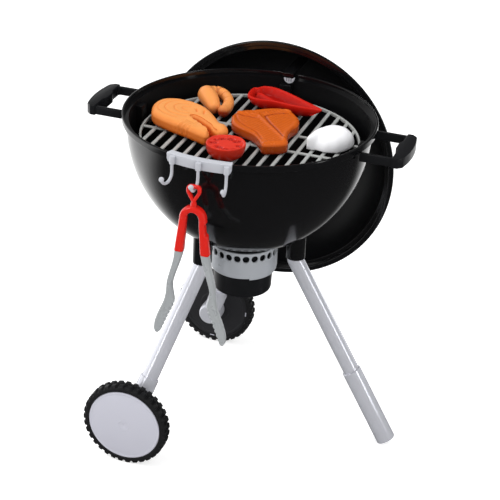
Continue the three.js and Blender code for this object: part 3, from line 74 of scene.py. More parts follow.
# Sizes of the frame, as the model states them
RIM_RADIUS = 145
COLLAR_HEIGHT = 7.2
COLLAR_THICKNESS = 3
LEDGE_DEPTH = 6.2
SHOULDER_DEPTH = 9.8
WALL_RADIUS = 139.5
BOWL_DEPTH = 149
FLAT_DEPTH = 152.5
WALL = 2.5
LEG_PLACE = 63.7
LEG_AZIMUTHS = {"right": 0, "rear": 120, "front": 240}
LEG_RADIUS = 9.6
LEG_SPLAY = math.radians(30.4)
SOCKET_RADIUS = 11.3
SOCKET_DEPTH = 168.8
SLEEVE_RADIUS = 11.3
FOOT_TOP_DEPTH = 305
KNEE_TOP_DEPTH = 298
FLOOR_DEPTH = RIM_MIDDLE.z / MM
AXLE_X = -84
AXLE_DEPTH = FLOOR_DEPTH - 51.7
BOSS_MIDDLE = 131.15
WHEEL_INNER = 143.3
WHEEL_OUTER = 160
WEB = WHEEL_INNER + 1
CAP_RADIUS = 44
CAP_BACK = WHEEL_OUTER - 2.4
DRUM_RADIUS = 36
COLLAR_RADIUS = 40
ASH_TOP = -158.5
ASH_LENGTH = 34.9
GRATE_TOP = -24.7
GRATE_THICKNESS = 4
GRATE_RADIUS = 125.8
GRATE_SHIFT = Vector((1.2, -1.6, 0))
FOOD_BASE = GRATE_TOP + GAP
HOOK_AZIMUTHS = (-104, -92, -80.2)
HOOK_SHANK = RIM_RADIUS + 6
HOOK_BEND = 9.5
HOOK_DEPTH = 27.5
LID_PLACE = Vector((-15.6, 148.6, -121))
LID_TILT = math.radians(1.3)


# Materials
class Tree:
    """Nodes of a material or a world. An input takes a value or another node's output."""

    def __init__(self, owner):
        owner.use_nodes = True
        self.nodes, self.links = owner.node_tree.nodes, owner.node_tree.links

    def fill(self, node, inputs):
        for name, value in inputs.items():
            if isinstance(value, bpy.types.NodeSocket):
                self.links.new(value, node.inputs[name])
            else:
                node.inputs[name].default_value = value

    def add(self, kind, inputs, output=0, **settings):
        """Adds a node and gives one of its outputs."""
        node = self.nodes.new("ShaderNode" + kind)
        for name, value in settings.items():
            setattr(node, name, value)
        self.fill(node, inputs)
        return node.outputs[output]

    def smoothstep(self, value, start, end, low, high):
        inputs = {"Value": value, "From Min": start, "From Max": end, "To Min": low, "To Max": high}
        return self.add("MapRange", inputs, interpolation_type="SMOOTHSTEP")

    def toward(self, place, way):
        """How far a place or direction lies along a way."""
        return self.add("VectorMath", {0: self.add("TexCoord", {}, place), 1: way}, "Value",
                        operation="DOT_PRODUCT")

    def ray(self, kind):
        return self.add("LightPath", {}, f"Is {kind} Ray")


def material(name, colour, roughness, metallic=0.0, coat=0.0, mottle=0.08, patch=30, grain=900,
             depth=0.03, scuff=0.06, specular=0.5, painted_shade_and_tone=None):
    """Moulded plastic or paint: slow colour clouds, uneven gloss and a fine grain in the surface."""
    made = bpy.data.materials.new(name)
    tree = Tree(made)
    place = tree.add("TexCoord", {}, "Object")

    def noise(scale, detail):
        return tree.add("TexNoise", {"Vector": place, "Scale": scale, "Detail": detail}, "Fac")

    def mix(factor, first, second):
        return tree.add("Mix", {"Factor": factor, 6: first, 7: second}, 2, data_type="RGBA")

    darker = (*(c * (1 - mottle) for c in colour), 1)
    lighter = (*(min(c * (1 + mottle), 1) for c in colour), 1)
    painted = mix(noise(patch, 4), darker, lighter)
    # Where the attribute is set, the colour is mixed toward the given darker one: painted shade on sides,
    # towards bases and in grooves, with some darker tone of the thing's own.
    if painted_shade_and_tone:
        painted = mix(tree.add("Attribute", {}, "Fac", attribute_name="painted_shade_and_tone"), painted, (*painted_shade_and_tone, 1))
    gloss = tree.add("MapRange", {"Value": noise(patch * 3, 5), "To Min": max(roughness - scuff, 0.02),
                                  "To Max": min(roughness + scuff, 1)})
    bump = tree.add("Bump", {"Distance": depth * MM, "Height": noise(grain, 3)})
    tree.fill(tree.nodes["Principled BSDF"], {
        "Base Color": painted, "Roughness": gloss, "Normal": bump, "Metallic": metallic, "Coat Weight": coat,
        "Coat Roughness": 0.08, "Specular IOR Level": specular,
    })
    return made


looks = {
    "bowl_black": material("bowl_black", (0.004, 0.004, 0.0045), 0.13, depth=0.012, grain=260, scuff=0.04),
    "inside_black": material("inside_black", (0.004, 0.004, 0.0045), 0.34, depth=0.012, grain=260, scuff=0.04,
                             specular=0.2),
    "matt_black": material("matt_black", (0.008, 0.0083, 0.0095), 0.34, depth=0.04, grain=1500, scuff=0.08,
                           specular=0.25),
    "grate_grey": material("grate_grey", (0.37, 0.38, 0.37), 0.38, depth=0.03, mottle=0.12),
    "rail_grey": material("rail_grey", (0.48, 0.49, 0.53), 0.33, depth=0.02),
    "collar_silver": material("collar_silver", (0.44, 0.46, 0.49), 0.3, metallic=0.2, depth=0.015),
    "leg_silver": material("leg_silver", (0.84, 0.85, 0.92), 0.25, metallic=0.5, depth=0.004, mottle=0.03,
                           scuff=0.03, grain=2500),
    "axle_steel": material("axle_steel", (0.55, 0.55, 0.56), 0.3, metallic=1.0),
    "tyre_black": material("tyre_black", (0.012, 0.012, 0.013), 0.5, depth=0.08, grain=700, scuff=0.1,
                           specular=0.35),
    "hub_grey": material("hub_grey", (0.022, 0.022, 0.025), 0.5, depth=0.04, specular=0.4),
    "cap_grey": material("cap_grey", (0.54, 0.54, 0.61), 0.36, depth=0.015, mottle=0.03, patch=12),
    "tongs_red": material("tongs_red", (0.68, 0.012, 0.006), 0.2, coat=1.0, depth=0.005, specular=0.4),
    "jaw_grey": material("jaw_grey", (0.42, 0.44, 0.45), 0.28, metallic=0.2, depth=0.004, mottle=0.03,
                         scuff=0.03),
    "salmon_orange": material("salmon_orange", (0.75, 0.295, 0.080), 0.36, mottle=0.08, depth=0.015,
                              specular=0.15, painted_shade_and_tone=(0.74, 0.13, 0.006)),
    "prawn_orange": material("prawn_orange", (0.77, 0.285, 0.075), 0.34, coat=0.1, mottle=0.1, specular=0.25,
                             painted_shade_and_tone=(0.24, 0.022, 0.003)),
    "tomato_red": material("tomato_red", (0.62, 0.026, 0.010), 0.3, coat=0.1, mottle=0.12, specular=0.35,
                           painted_shade_and_tone=(0.34, 0.004, 0.003)),
    "pepper_red": material("pepper_red", (0.50, 0.012, 0.006), 0.3, mottle=0.12, specular=0.15,
                           painted_shade_and_tone=(0.24, 0.002, 0.0015)),
    "steak_brown": material("steak_brown", (0.57, 0.105, 0.006), 0.26, coat=0.15, mottle=0.06, depth=0.01,
                            specular=0.25, painted_shade_and_tone=(0.27, 0.022, 0.003)),
    "onion_white": material("onion_white", (0.96, 0.96, 0.985), 0.35, mottle=0.02),
}


# Meshes
def place(point):
    return RIM_MIDDLE + Vector(point) * MM


def weld(mesh):
    """Joins the points that coincide and turns the faces outward."""
    joined = bmesh.new()
    joined.from_mesh(mesh)
    bmesh.ops.remove_doubles(joined, verts=joined.verts, dist=0.01 * MM)
    bmesh.ops.dissolve_degenerate(joined, dist=0.001 * MM, edges=joined.edges)
    bmesh.ops.recalc_face_normals(joined, faces=joined.faces)
    joined.to_mesh(mesh)
    joined.free()


def piece(name, mesh, look, body, *nodes):
    """An object that rides on the body and stands for the nodes."""
    made = bpy.data.objects.new(name, mesh)
    bpy.context.scene.collection.objects.link(made)
    mesh.materials.append(looks[look])
    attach(made, body)
    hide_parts(*nodes)
    return made


def dull_inside(made, inside):
    """Gives the inner faces of a shell their less glossy black."""
    made.data.materials.append(looks["inside_black"])
    for face in made.data.polygons:
        if inside((face.center - RIM_MIDDLE) / MM):
            face.material_index = 1


class Build:
    """Points and faces of one mesh, gathered from several forms."""

    def __init__(self):
        self.points = []
        self.faces = []

    def add(self, points, faces):
        first = len(self.points)
        self.points.extend(Vector(point) for point in points)
        self.faces.extend(tuple(first + corner for corner in face) for face in faces)
        return self

    def grid(self, rows, closed=False, caps=False):
        """Quads over rows of equally many points. Rows may close on themselves, and be capped."""
        width = len(rows[0])
        faces = []
        for row in range(len(rows) - 1):
            for i in range(width if closed else width - 1):
                a = row * width + i
                b = row * width + (i + 1) % width
                faces.append((a, b, b + width, a + width))
        if caps:
            last = (len(rows) - 1) * width
            faces.append(tuple(range(width - 1, -1, -1)))
            faces.append(tuple(range(last, last + width)))
        return self.add([point for row in rows for point in row], faces)

    def lathe(self, profile, sides=96, start=0.0, end=360.0):
        """Profile of radius and height turned round Z, all the way or between two azimuths."""
        whole = end - start >= 360
        rows = []
        for i in range(sides if whole else sides + 1):
            angle = math.radians(start + (end - start) * i / sides)
            rows.append([(r * math.cos(angle), r * math.sin(angle), z) for r, z in profile])
        if whole:
            rows.append(rows[0])
        self.grid(rows)
        if not whole:
            for row, backward in ((rows[0], False), (rows[-1], True)):
                corners = tuple(range(len(row)))
                self.add(row, [corners[::-1] if backward else corners])
        return self

    def sweep(self, path, section, across=None, closed=False, scale=None):
        """Section carried along a path. Its first direction lies in the plane square to across."""
        count = len(path)
        path = [Vector(point) for point in path]
        rows = []
        side = Vector(across) if across else None
        for i, point in enumerate(path):
            before = path[i - 1] if i or closed else point
            after = path[(i + 1) % count] if i < count - 1 or closed else point
            along = (after - before).normalized()
            if side is None:
                side = along.orthogonal()
            side = (side - along * side.dot(along)).normalized()
            up = along.cross(side)
            size = scale[i] if scale else 1
            rows.append([point + (up * u + side * v) * size for u, v in section])
        if closed:
            rows.append(rows[0])
        return self.grid(rows, closed=True, caps=not closed)

    def join(self, other, matrix=Matrix.Identity(4)):
        """Takes in another build, moved by a matrix."""
        return self.add([matrix @ point for point in other.points], other.faces)

    def moved(self, matrix):
        return Build().join(self, matrix)

    def mesh(self, name):
        made = bpy.data.meshes.new(name)
        made.from_pydata([place(point) for point in self.points], [], self.faces)
        return made

    def make(self, name, look, body, *nodes, sharp=32):
        mesh = self.mesh(name)
        weld(mesh)
        mesh.shade_smooth()
        mesh.set_sharp_from_angle(angle=math.radians(sharp))
        return piece(name, mesh, look, body, *nodes)


def rounded(points, radius, steps=4, closed=True):
    """The outline with its corners rounded. The radius is one number, or one for each corner."""
    count = len(points)
    result = []
    for i, point in enumerate(points):
        size = radius[i] if isinstance(radius, (list, tuple)) else radius
        inner = closed or 0 < i < count - 1
        corner = Vector(point)
        before = Vector(points[i - 1]) - corner
        after = Vector(points[(i + 1) % count]) - corner
        if not inner or size <= 0 or before.length < 1e-6 or after.length < 1e-6:
            result.append(tuple(corner))
            continue
        turn = math.pi - before.angle(after)
        if turn < 0.05:
            result.append(tuple(corner))
            continue
        reach = min(size * math.tan(turn / 2), before.length * 0.49, after.length * 0.49)
        start = corner + before.normalized() * reach
        end = corner + after.normalized() * reach
        for k in range(steps + 1):
            t = k / steps
            result.append(tuple(start * (1 - t) ** 2 + corner * 2 * t * (1 - t) + end * t ** 2))
    return result


def circle(radius, sides=24):
    return [(radius * math.cos(2 * math.pi * i / sides), radius * math.sin(2 * math.pi * i / sides))
            for i in range(sides)]


def arc(centre, radius, start, end, steps):
    """Points of an arc between two angles in degrees."""
    made = []
    for i in range(steps + 1):
        angle = math.radians(start + (end - start) * i / steps)
        made.append((centre[0] + radius * math.cos(angle), centre[1] + radius * math.sin(angle)))
    return made


def smooth(points, per_point=6, closed=True):
    """Catmull-Rom curve through the points."""
    count = len(points)
    vectors = [Vector(point) for point in points]
    made = []
    for i in range(count if closed else count - 1):
        if closed:
            a, b, c, d = (vectors[(i + k) % count] for k in (-1, 0, 1, 2))
        else:
            a, b, c, d = (vectors[min(max(i + k, 0), count - 1)] for k in (-1, 0, 1, 2))
        for k in range(per_point):
            t = k / per_point
            made.append(0.5 * (2 * b + (c - a) * t + (2 * a - 5 * b + 4 * c - d) * t ** 2
                               + (3 * b - a - 3 * c + d) * t ** 3))
    if not closed:
        made.append(vectors[-1])
    return made


def inset(points, distance):
    """The closed outline, drawn in by a distance on every side. It runs against the clock."""
    count = len(points)
    made = []
    for i in range(count):
        before = Vector(points[i]) - Vector(points[i - 1])
        after = Vector(points[(i + 1) % count]) - Vector(points[i])
        if before.length < 1e-9:
            before = after
        if after.length < 1e-9:
            after = before
        first = Vector((-before.y, before.x)).normalized()
        second = Vector((-after.y, after.x)).normalized()
        normal = (first + second).normalized()
        made.append(Vector(points[i]) + normal * distance / max(normal.dot(first), 0.5))
    return made


def anticlockwise(points):
    area = sum(points[i - 1][0] * points[i][1] - points[i][0] * points[i - 1][1]
               for i in range(len(points)))
    return points if area > 0 else points[::-1]


def mound(distance, width):
    """1 on a line and 0 well away from it."""
    return math.exp(-(distance / width) ** 2)


def eased(value, low, high):
    share = min(max((value - low) / (high - low), 0), 1)
    return share * share * (3 - 2 * share)


def plate(points, low, high, edge, steps=3):
    """A plate on an outline in plan, between two heights, with rounded edges."""
    points = anticlockwise([tuple(point) for point in points])
    rows = []
    for height, way, order in ((low, 1, range(steps + 1)), (high, -1, range(steps, -1, -1))):
        for k in order:
            angle = math.pi / 2 * k / steps
            ring = inset(points, edge * (1 - math.sin(angle)))
            rows.append([(p.x, p.y, height + way * edge * (1 - math.cos(angle))) for p in ring])
    return Build().grid(rows, closed=True, caps=True)


STANDING = Matrix.Rotation(math.radians(90), 4, "X")


# Bowl
def wall_height(radius):
    """Height of the bowl's outer wall at a radius."""
    curve = math.sqrt(max(1 - (radius / WALL_RADIUS) ** 2, 0))
    return max(-SHOULDER_DEPTH - BOWL_DEPTH * curve, -FLAT_DEPTH)


def wall_radius(height):
    return WALL_RADIUS * math.sqrt(max(1 - ((height + SHOULDER_DEPTH) / BOWL_DEPTH) ** 2, 0))


def bowl_wall(wide, deep, lowest, steps=36):
    end = math.asin((-SHOULDER_DEPTH - lowest) / deep)
    return [(wide * math.cos(end * i / steps), -SHOULDER_DEPTH - deep * math.sin(end * i / steps))
            for i in range(steps + 1)]


def azimuth_point(radius, azimuth, height):
    angle = math.radians(azimuth)
    return Vector((radius * math.cos(angle), radius * math.sin(angle), height))


def turn_z(azimuth):
    return Matrix.Rotation(math.radians(azimuth), 4, "Z")


def bowl():
    collar = rounded([
        (RIM_RADIUS - COLLAR_THICKNESS, -LEDGE_DEPTH),
        (RIM_RADIUS - COLLAR_THICKNESS, 0),
        (RIM_RADIUS, 0),
        (RIM_RADIUS, -COLLAR_HEIGHT),
        (WALL_RADIUS, -SHOULDER_DEPTH),
    ], (0, 0.9, 1.2, 1.0, 0), closed=False)
    outer = bowl_wall(WALL_RADIUS, BOWL_DEPTH, -FLAT_DEPTH)
    inner = bowl_wall(WALL_RADIUS - WALL, BOWL_DEPTH - WALL, -FLAT_DEPTH + WALL)
    profile = [*collar, *outer[1:], (0, -FLAT_DEPTH), (0, -FLAT_DEPTH + WALL), *inner[::-1],
               (WALL_RADIUS - WALL, -LEDGE_DEPTH), collar[0]]
    build = Build().lathe(profile, 160)
    # Leg sockets
    sunk, bore, bore_depth = 1.2, LEG_RADIUS + GAP, 15
    ring = circle(1, 48)
    for azimuth in LEG_AZIMUTHS.values():
        middle = azimuth_point(LEG_PLACE, azimuth, 0)
        top = []
        for x, y in ring:
            point = middle + Vector((x, y, 0)) * SOCKET_RADIUS
            top.append((point.x, point.y, wall_height(point.xy.length) + sunk))
        rows = [top]
        for radius, up in ((SOCKET_RADIUS, 0.8), (SOCKET_RADIUS - 0.25, 0.2), (SOCKET_RADIUS - 0.6, 0),
                           (bore, 0), (bore, bore_depth)):
            rows.append([(middle.x + x * radius, middle.y + y * radius, up - SOCKET_DEPTH) for x, y in ring])
        build.grid(rows, closed=True)
    # Lugs that carry the grate
    lugs, reach, half, top = 4, 8, 7, -11.5
    face = WALL_RADIUS - WALL - reach
    seat = GRATE_TOP - GRATE_THICKNESS - GAP
    ledge, tail = face - 11, seat - 17
    outline = rounded([
        (WALL_RADIUS - 1.2, top), (face, top), (face, seat), (ledge, seat), (ledge, seat - 5),
        (wall_radius(tail) - 1.2, tail),
    ], (0, 1.2, 0.6, 1.2, 2, 0))
    for i in range(lugs):
        build.join(plate(outline, -half, half, 0.8), turn_z(360 * i / lugs) @ STANDING)
    made = build.make("bowl_body", "bowl_black", "stand_and_bowl", "bowl")
    dull_inside(made, lambda point: point.xy.length < wall_radius(point.z) - WALL / 2)


bowl()


# Handles
def handle(name, side):
    """Flat grip with a bowed outer edge, on two arms from the bowl's collar."""
    inner, outer, end, bow = 175, 186.7, 36.5, 14.4
    low, high = -19.2, -6.7
    plan = [(outer - 5.2, -end), (outer, -end + 5)]
    for i in range(1, 14):
        t = i / 14
        plan.append((outer + bow * t * (1 - t), (2 * t - 1) * (end - 5)))
    plan += [(outer, end - 5), (outer - 5.2, end), (inner, end), (inner, 19)]
    waist = [(inner - 0.2, 14), (inner - 1.6, 11), (inner - 3, 7)]
    plan += waist + [(x, -y) for x, y in waist[::-1]] + [(inner, -19), (inner, -end)]
    build = plate(rounded([(side * x, y) for x, y in plan], 1.6, 3), low, high, 1.1, 4)
    for front in (-1, 1):
        y, half = front * 33.4, 2
        arm = [(138.6, y - half), (178, y - half), (178, y + half), (138.6, y + half)]
        arm = rounded([(side * x, y) for x, y in arm], 0.2, 2)
        build.join(plate(arm, low + 0.9, high - 1.6, 0.7, 3))
        web = [(x, y - front * back) for x, back in ((175.6, 1.8), (171.5, 1.9), (174, 3.6), (175.6, 7))]
        build.join(plate([(side * x, y) for x, y in web], low + 1.2, high - 1.9, 0.3, 2))
    build.make(name + "_grip", "matt_black", "stand_and_bowl", name)


handle("handle_left", -1)
handle("handle_right", 1)


# Vent drum, silver collar and ash pot
def vent_drum():
    """Drum with a flange at each end of the collar, which the collar's halves clip round."""
    flange, thick = COLLAR_RADIUS - 2.4, 2.4
    top, bottom = -FLAT_DEPTH - GAP, ASH_TOP - ASH_LENGTH
    upper, lower = ASH_TOP - GAP, bottom + 8.9
    profile = [(0, top), (DRUM_RADIUS, top)]
    for height in (upper, lower):
        profile += [(DRUM_RADIUS, height), (flange, height), (flange, height - thick),
                    (DRUM_RADIUS, height - thick)]
    profile += [(DRUM_RADIUS, bottom), (0, bottom)]
    Build().lathe(rounded(profile, 0.4, 2), 96).make("drum", "matt_black", "stand_and_bowl", "vent_drum")


def patch_edge(low, high, columns, levels):
    """Points round a patch between two corners."""
    (left, bottom), (right, top) = low, high
    edge = [(left + (right - left) * i / columns, bottom) for i in range(columns)]
    edge += [(right, bottom + (top - bottom) * i / levels) for i in range(levels)]
    edge += [(right - (right - left) * i / columns, top) for i in range(columns)]
    edge += [(left, top - (top - bottom) * i / levels) for i in range(levels)]
    return edge


def collar_half(name, start, length):
    """Half shell with twelve round holes in its upper band, each in a patch of its own."""
    inner, outer, hole = COLLAR_RADIUS - 2, COLLAR_RADIUS, 4.15
    bevel, bevel_share = 0.12, 1.08
    cells, columns, levels = 12, 6, 8
    step = 180 / cells
    middle, band, bottom = ASH_TOP - 7.2, ASH_TOP - 14.4, ASH_TOP - length
    build = Build()
    for cell in range(cells):
        left = start + step * cell
        centre = left + step / 2
        edge = patch_edge((left, band), (left + step, ASH_TOP), columns, levels)
        turns = [math.atan2(height - middle, math.radians(azimuth - centre) * outer)
                 for azimuth, height in edge]

        def ring(radius, grow):
            reach = hole * grow
            return [azimuth_point(radius, centre + math.degrees(reach * math.cos(turn) / outer),
                                  middle + reach * math.sin(turn)) for turn in turns]

        build.grid([[azimuth_point(outer, *spot) for spot in edge], ring(outer, bevel_share),
                    ring(outer - bevel, 1), ring(inner + bevel, 1), ring(inner, bevel_share),
                    [azimuth_point(inner, *spot) for spot in edge]], closed=True)
    lower = rounded([(outer, band), (outer, bottom + 6), (outer - 0.9, bottom + 1.2), (outer - 1.6, bottom),
                     (inner, bottom), (inner, band)], (0, 3, 0.5, 0.3, 0.3, 0), 4, closed=False)
    for strip in (lower, [(outer, ASH_TOP), (inner, ASH_TOP)]):
        build.grid([[azimuth_point(radius, start + step * i / columns, height) for radius, height in strip]
                    for i in range(cells * columns + 1)])
    for azimuth in (start, start + 180):
        end = [(outer, ASH_TOP), (inner, ASH_TOP), (inner, bottom), (outer - 1.2, bottom),
               (outer, bottom + 6)]
        build.add([azimuth_point(radius, azimuth, height) for radius, height in end], [tuple(range(5))])
    build.make(name + "_shell", "collar_silver", "stand_and_bowl", name, sharp=28)


def ash_pot():
    top, height, radius, base_radius = ASH_TOP - ASH_LENGTH - GAP, 26.3, 35.2, 34.2
    profile = rounded([(0, top), (radius, top), (base_radius, top - height), (0, top - height)],
                      (0, 0.5, 4, 0), 6)
    Build().lathe(profile, 96).make("pot", "matt_black", "stand_and_bowl", "ash_pot")


vent_drum()
collar_half("ash_collar_left", 120.05, ASH_LENGTH - 1.7)
collar_half("ash_collar_right", -59.95, ASH_LENGTH)
ash_pot()


# Legs
BEND_DEPTH = SOCKET_DEPTH + LEG_RADIUS * math.tan(LEG_SPLAY / 2) + GAP


def leg_point(azimuth, depth):
    return azimuth_point(LEG_PLACE + (depth - BEND_DEPTH) * math.tan(LEG_SPLAY), azimuth, -depth)


def bent(points, radius, steps=8):
    """Route with its inner corners rounded."""
    return [Vector(point) for point in rounded(points, radius, steps, closed=False)]


def leg_tube(name, azimuth, end):
    plugged, bend = 14, 9
    route = bent([azimuth_point(LEG_PLACE, azimuth, plugged - SOCKET_DEPTH), leg_point(azimuth, BEND_DEPTH),
                  leg_point(azimuth, end)], bend)
    Build().sweep(route, circle(LEG_RADIUS, 48)).make(name + "_pipe", "leg_silver", "stand_and_bowl", name)


def sleeve(path, radius):
    """Path and sizes of a sleeve with a thin rim and a bore at its first end."""
    first = path[0]
    along = (path[1] - first).normalized()
    bore, bore_depth, rim = LEG_RADIUS + GAP, 8, 0.35
    start = [first + along * bore_depth, first + along * 0.0001, first, first + along * rim]
    scale = [bore / radius, bore / radius, (radius - rim) / radius, 1.0]
    return start + path[1:], scale + [1.0] * (len(path) - 1)


def foot():
    end = FLOOR_DEPTH - SLEEVE_RADIUS * math.sin(LEG_SPLAY)
    top, bottom = leg_point(0, FOOT_TOP_DEPTH), leg_point(0, end)
    along = (bottom - top).normalized()
    path, scale = sleeve([top, bottom - along * 0.8], SLEEVE_RADIUS)
    path += [bottom - along * 0.25, bottom]
    scale += [0.985, 0.93]
    tube(path, scale, SLEEVE_RADIUS).make("foot", "leg_silver", "stand_and_bowl", "leg_right_foot")


def tube(path, scale, radius, sides=48):
    """Round tube whose radius changes along a path, which may turn back on itself in a bore."""
    along = path[-1] - path[0]
    steps = [after - before for before, after in zip(path, path[1:])]
    rows = []
    side = Vector((0, 1, 0))
    for i, point in enumerate(path):
        ahead = [step for step in steps[i:] if step.length > 1 and step.dot(along) > 0]
        behind = [step for step in steps[::-1] if step.length > 0.2 and step.dot(along) > 0]
        forward = (ahead or behind)[0].normalized()
        side = (side - forward * side.dot(forward)).normalized()
        up = forward.cross(side)
        rows.append([point + (up * x + side * y) * radius * scale[i] for x, y in circle(1, sides)])
    return Build().grid(rows, closed=True, caps=True)


def knee(name, azimuth, side):
    """Sleeve that bends to the axle and ends in a boss round it."""
    straight, bend = 16, 14
    turn = leg_point(azimuth, KNEE_TOP_DEPTH + straight * math.cos(LEG_SPLAY))
    boss_middle = Vector((AXLE_X, side * BOSS_MIDDLE, -AXLE_DEPTH))
    route = bent([leg_point(azimuth, KNEE_TOP_DEPTH), turn, boss_middle], bend)
    boss = rounded([(0, 119.8), (13.2, 119.8), (14.5, 126), (14.5, 142.3), (4.3, 142.3), (4.3, 136)],
                   (0, 6, 3, 0.6, 0.2, 0), 6, closed=False)
    build = tube(*sleeve(route, SLEEVE_RADIUS), SLEEVE_RADIUS).join(axle_turned(boss, side, 48))
    build.make(name + "_joint", "leg_silver", "stand_and_bowl", name)


def axle_turned(profile, side, sides=96):
    """A profile of radius and distance from the grill's middle, turned round the axle."""
    turn = Matrix.Translation((AXLE_X, 0, -AXLE_DEPTH)) @ Matrix.Rotation(-side * math.pi / 2, 4, "X")
    return Build().lathe(profile, sides).moved(turn)


for leg, top, reach in (("right", FOOT_TOP_DEPTH, 29), ("front", KNEE_TOP_DEPTH, 15),
                        ("rear", KNEE_TOP_DEPTH, 15)):
    leg_tube(f"leg_{leg}_tube", LEG_AZIMUTHS[leg], top + reach * math.cos(LEG_SPLAY))
foot()
knee("leg_front_knee", LEG_AZIMUTHS["front"], -1)
knee("leg_rear_knee", LEG_AZIMUTHS["rear"], 1)


# Wheels
def axle(end, side):
    radius, head_radius, head_thick, inner_end = 4, 6.5, 2, 124.6
    head_end = CAP_BACK - GAP
    head = head_end - head_thick
    pin = [(0, inner_end), (radius, inner_end), (radius, head), (head_radius, head), (head_radius, head_end),
           (0, head_end)]
    build = axle_turned(rounded(pin, (0, 0.4, 0, 0.4, 0.6, 0), 3), side, 32)
    build.make(f"axle_{end}_pin", "axle_steel", "stand_and_bowl", "axle_" + end)


def tyre(body, side):
    """Two rows of small lugs that stand past each other, and a smooth wall at each side."""
    lugs, per_lug = 34, 12
    ground, crown, wall, bore = 49.2, 51.7, 48.2, 44.35
    width = WHEEL_OUTER - WHEEL_INNER
    half_shares = [0.03, 0.07, 0.12, 0.2, 0.3, 0.4, 0.45, 0.475]
    shares = half_shares + [0.5] + [1 - share for share in reversed(half_shares)]

    def lug(phase):
        """0 in the groove between two lugs and 1 on a lug, with soft flanks."""
        return eased(0.5 - 0.5 * math.cos(2 * math.pi * phase), 0.15, 0.5)

    def radius_at(turn, share):
        height = lug(turn * lugs if share < 0.5 else turn * lugs + 0.5)
        shoulder = min(min(share, 1 - share) / 0.14, 1)
        raised = (crown - ground) * height * (1 - mound(share - 0.5, 0.035))
        return ground + raised - (1 - shoulder) ** 2 * 1.8

    rows = []
    for step in range(lugs * per_lug):
        turn = step / (lugs * per_lug)
        row = [(bore, WHEEL_INNER + 0.5), (bore + 0.55, WHEEL_INNER), (wall - 0.5, WHEEL_INNER),
               (wall, WHEEL_INNER + 0.15)]
        row += [(radius_at(turn, share), WHEEL_INNER + share * width) for share in shares]
        row += [(wall, WHEEL_OUTER - 0.15), (wall - 0.5, WHEEL_OUTER), (bore + 0.55, WHEEL_OUTER),
                (bore, WHEEL_OUTER - 0.6), (bore, WHEEL_INNER + 0.5)]
        angle = 2 * math.pi * turn
        rows.append([(AXLE_X + r * math.cos(angle), side * d, -AXLE_DEPTH + r * math.sin(angle))
                     for r, d in row])
    rows.append(rows[0])
    Build().grid(rows).make(body + "_tread", "tyre_black", body, body + "_tyre", sharp=42)


def hub(body, side):
    """Dish that is open to the outside and closed by the cap, with a boss round the axle."""
    rim, rim_end, boss, bore = 40, CAP_BACK - GAP, 9, 4.3
    dish = [(boss, WEB), (20, WEB), (21, WEB + 0.7), (39, WEB + 0.7), (rim, WEB), (CAP_RADIUS, WEB),
            (CAP_RADIUS, rim_end), (rim, rim_end), (rim, WEB + 3), (boss, WEB + 3)]
    inner_end, outer_end = 142.6, rim_end - 2.3
    core = [(bore, inner_end), (boss, inner_end), (boss, outer_end), (bore, outer_end)]
    build = Build()
    for profile in (rounded(dish, GAP, 2), rounded(core, GAP, 2)):
        build.join(axle_turned(profile + [profile[0]], side))
    build.make(body + "_dish", "hub_grey", body, body + "_hub")


def cap(body, side):
    """Disc with a faint ring in its middle, and four clips behind its edge."""
    face, ring_inner, ring_outer, dimple = WHEEL_OUTER, 5.9, 7.1, 2.2
    clips, first_clip = 4, 3
    profile = [(0, CAP_BACK), (CAP_RADIUS, CAP_BACK), (CAP_RADIUS, face - 1.0), (43.7, face - 0.45),
               (43.0, face - 0.1), (42.4, face), (41.2, face), (40.9, face - 0.12), (40.3, face - 0.12),
               (40.0, face), (ring_outer, face), (6.8, face + 0.3), (6.2, face + 0.3), (ring_inner, face),
               (dimple, face), (1.6, face - 0.3), (0, face - 0.3)]
    build = axle_turned(profile, side, 128)
    low, high = sorted((side * (WEB - 0.3), side * (face - 1.3)))
    outline = rounded([(42.6, -3), (CAP_RADIUS, -3), (CAP_RADIUS, 3), (42.6, 3)], GAP, 2)
    clip = plate(outline, low, high, 0.2, 2)
    middle = Matrix.Translation((AXLE_X, 0, -AXLE_DEPTH))
    for i in range(clips):
        turn = Matrix.Rotation(math.radians(first_clip - 360 / clips * i), 4, "Y")
        build.join(clip, middle @ turn @ Matrix.Rotation(math.radians(-90), 4, "X"))
    build.make(body + "_disc", "cap_grey", body, body + "_cap")


def wheel(end, side):
    axle(end, side)
    for made in (tyre, hub, cap):
        made("wheel_" + end, side)


wheel("front", -1)
wheel("rear", 1)


# Grate: a ring, bars from front to back and two crossbars
def grate():
    top, low = GRATE_TOP, GRATE_TOP - GRATE_THICKNESS
    edge, bars, pitch, cross = GRATE_RADIUS, 16, 14.1, 22.5
    ring = rounded([(edge - 3, low), (edge, low), (edge - 0.3, top), (edge - 2.7, top)],
                   (0.6, 0.6, 1.1, 1.1), 4)
    build = Build().lathe(ring + [ring[0]], 160)
    section = rounded([(-1.4, -2), (1.4, -2), (0.95, 2), (-0.95, 2)], (0.6, 0.6, 0.85, 0.85), 4)
    middle = (top + low) / 2

    def bar(x, y, way, height):
        """A bar across the ring at x or y, along the other direction."""
        half = math.sqrt((edge - 2) ** 2 - x ** 2 - y ** 2)
        ends = [Vector((x, y, height)) + sign * half * way for sign in (-1, 1)]
        build.sweep(ends, [(v, u) for u, v in section], across=(0, 0, 1))

    for i in range(bars):
        bar(pitch * (i - (bars - 1) / 2), 0, Vector((0, 1, 0)), middle)
    for y in (-cross, cross):
        bar(0, y, Vector((1, 0, 0)), middle - 0.15)
    build = build.moved(Matrix.Translation(GRATE_SHIFT))
    build.make("grate_bars", "grate_grey", "cooking_grate", "grate", sharp=50)


grate()


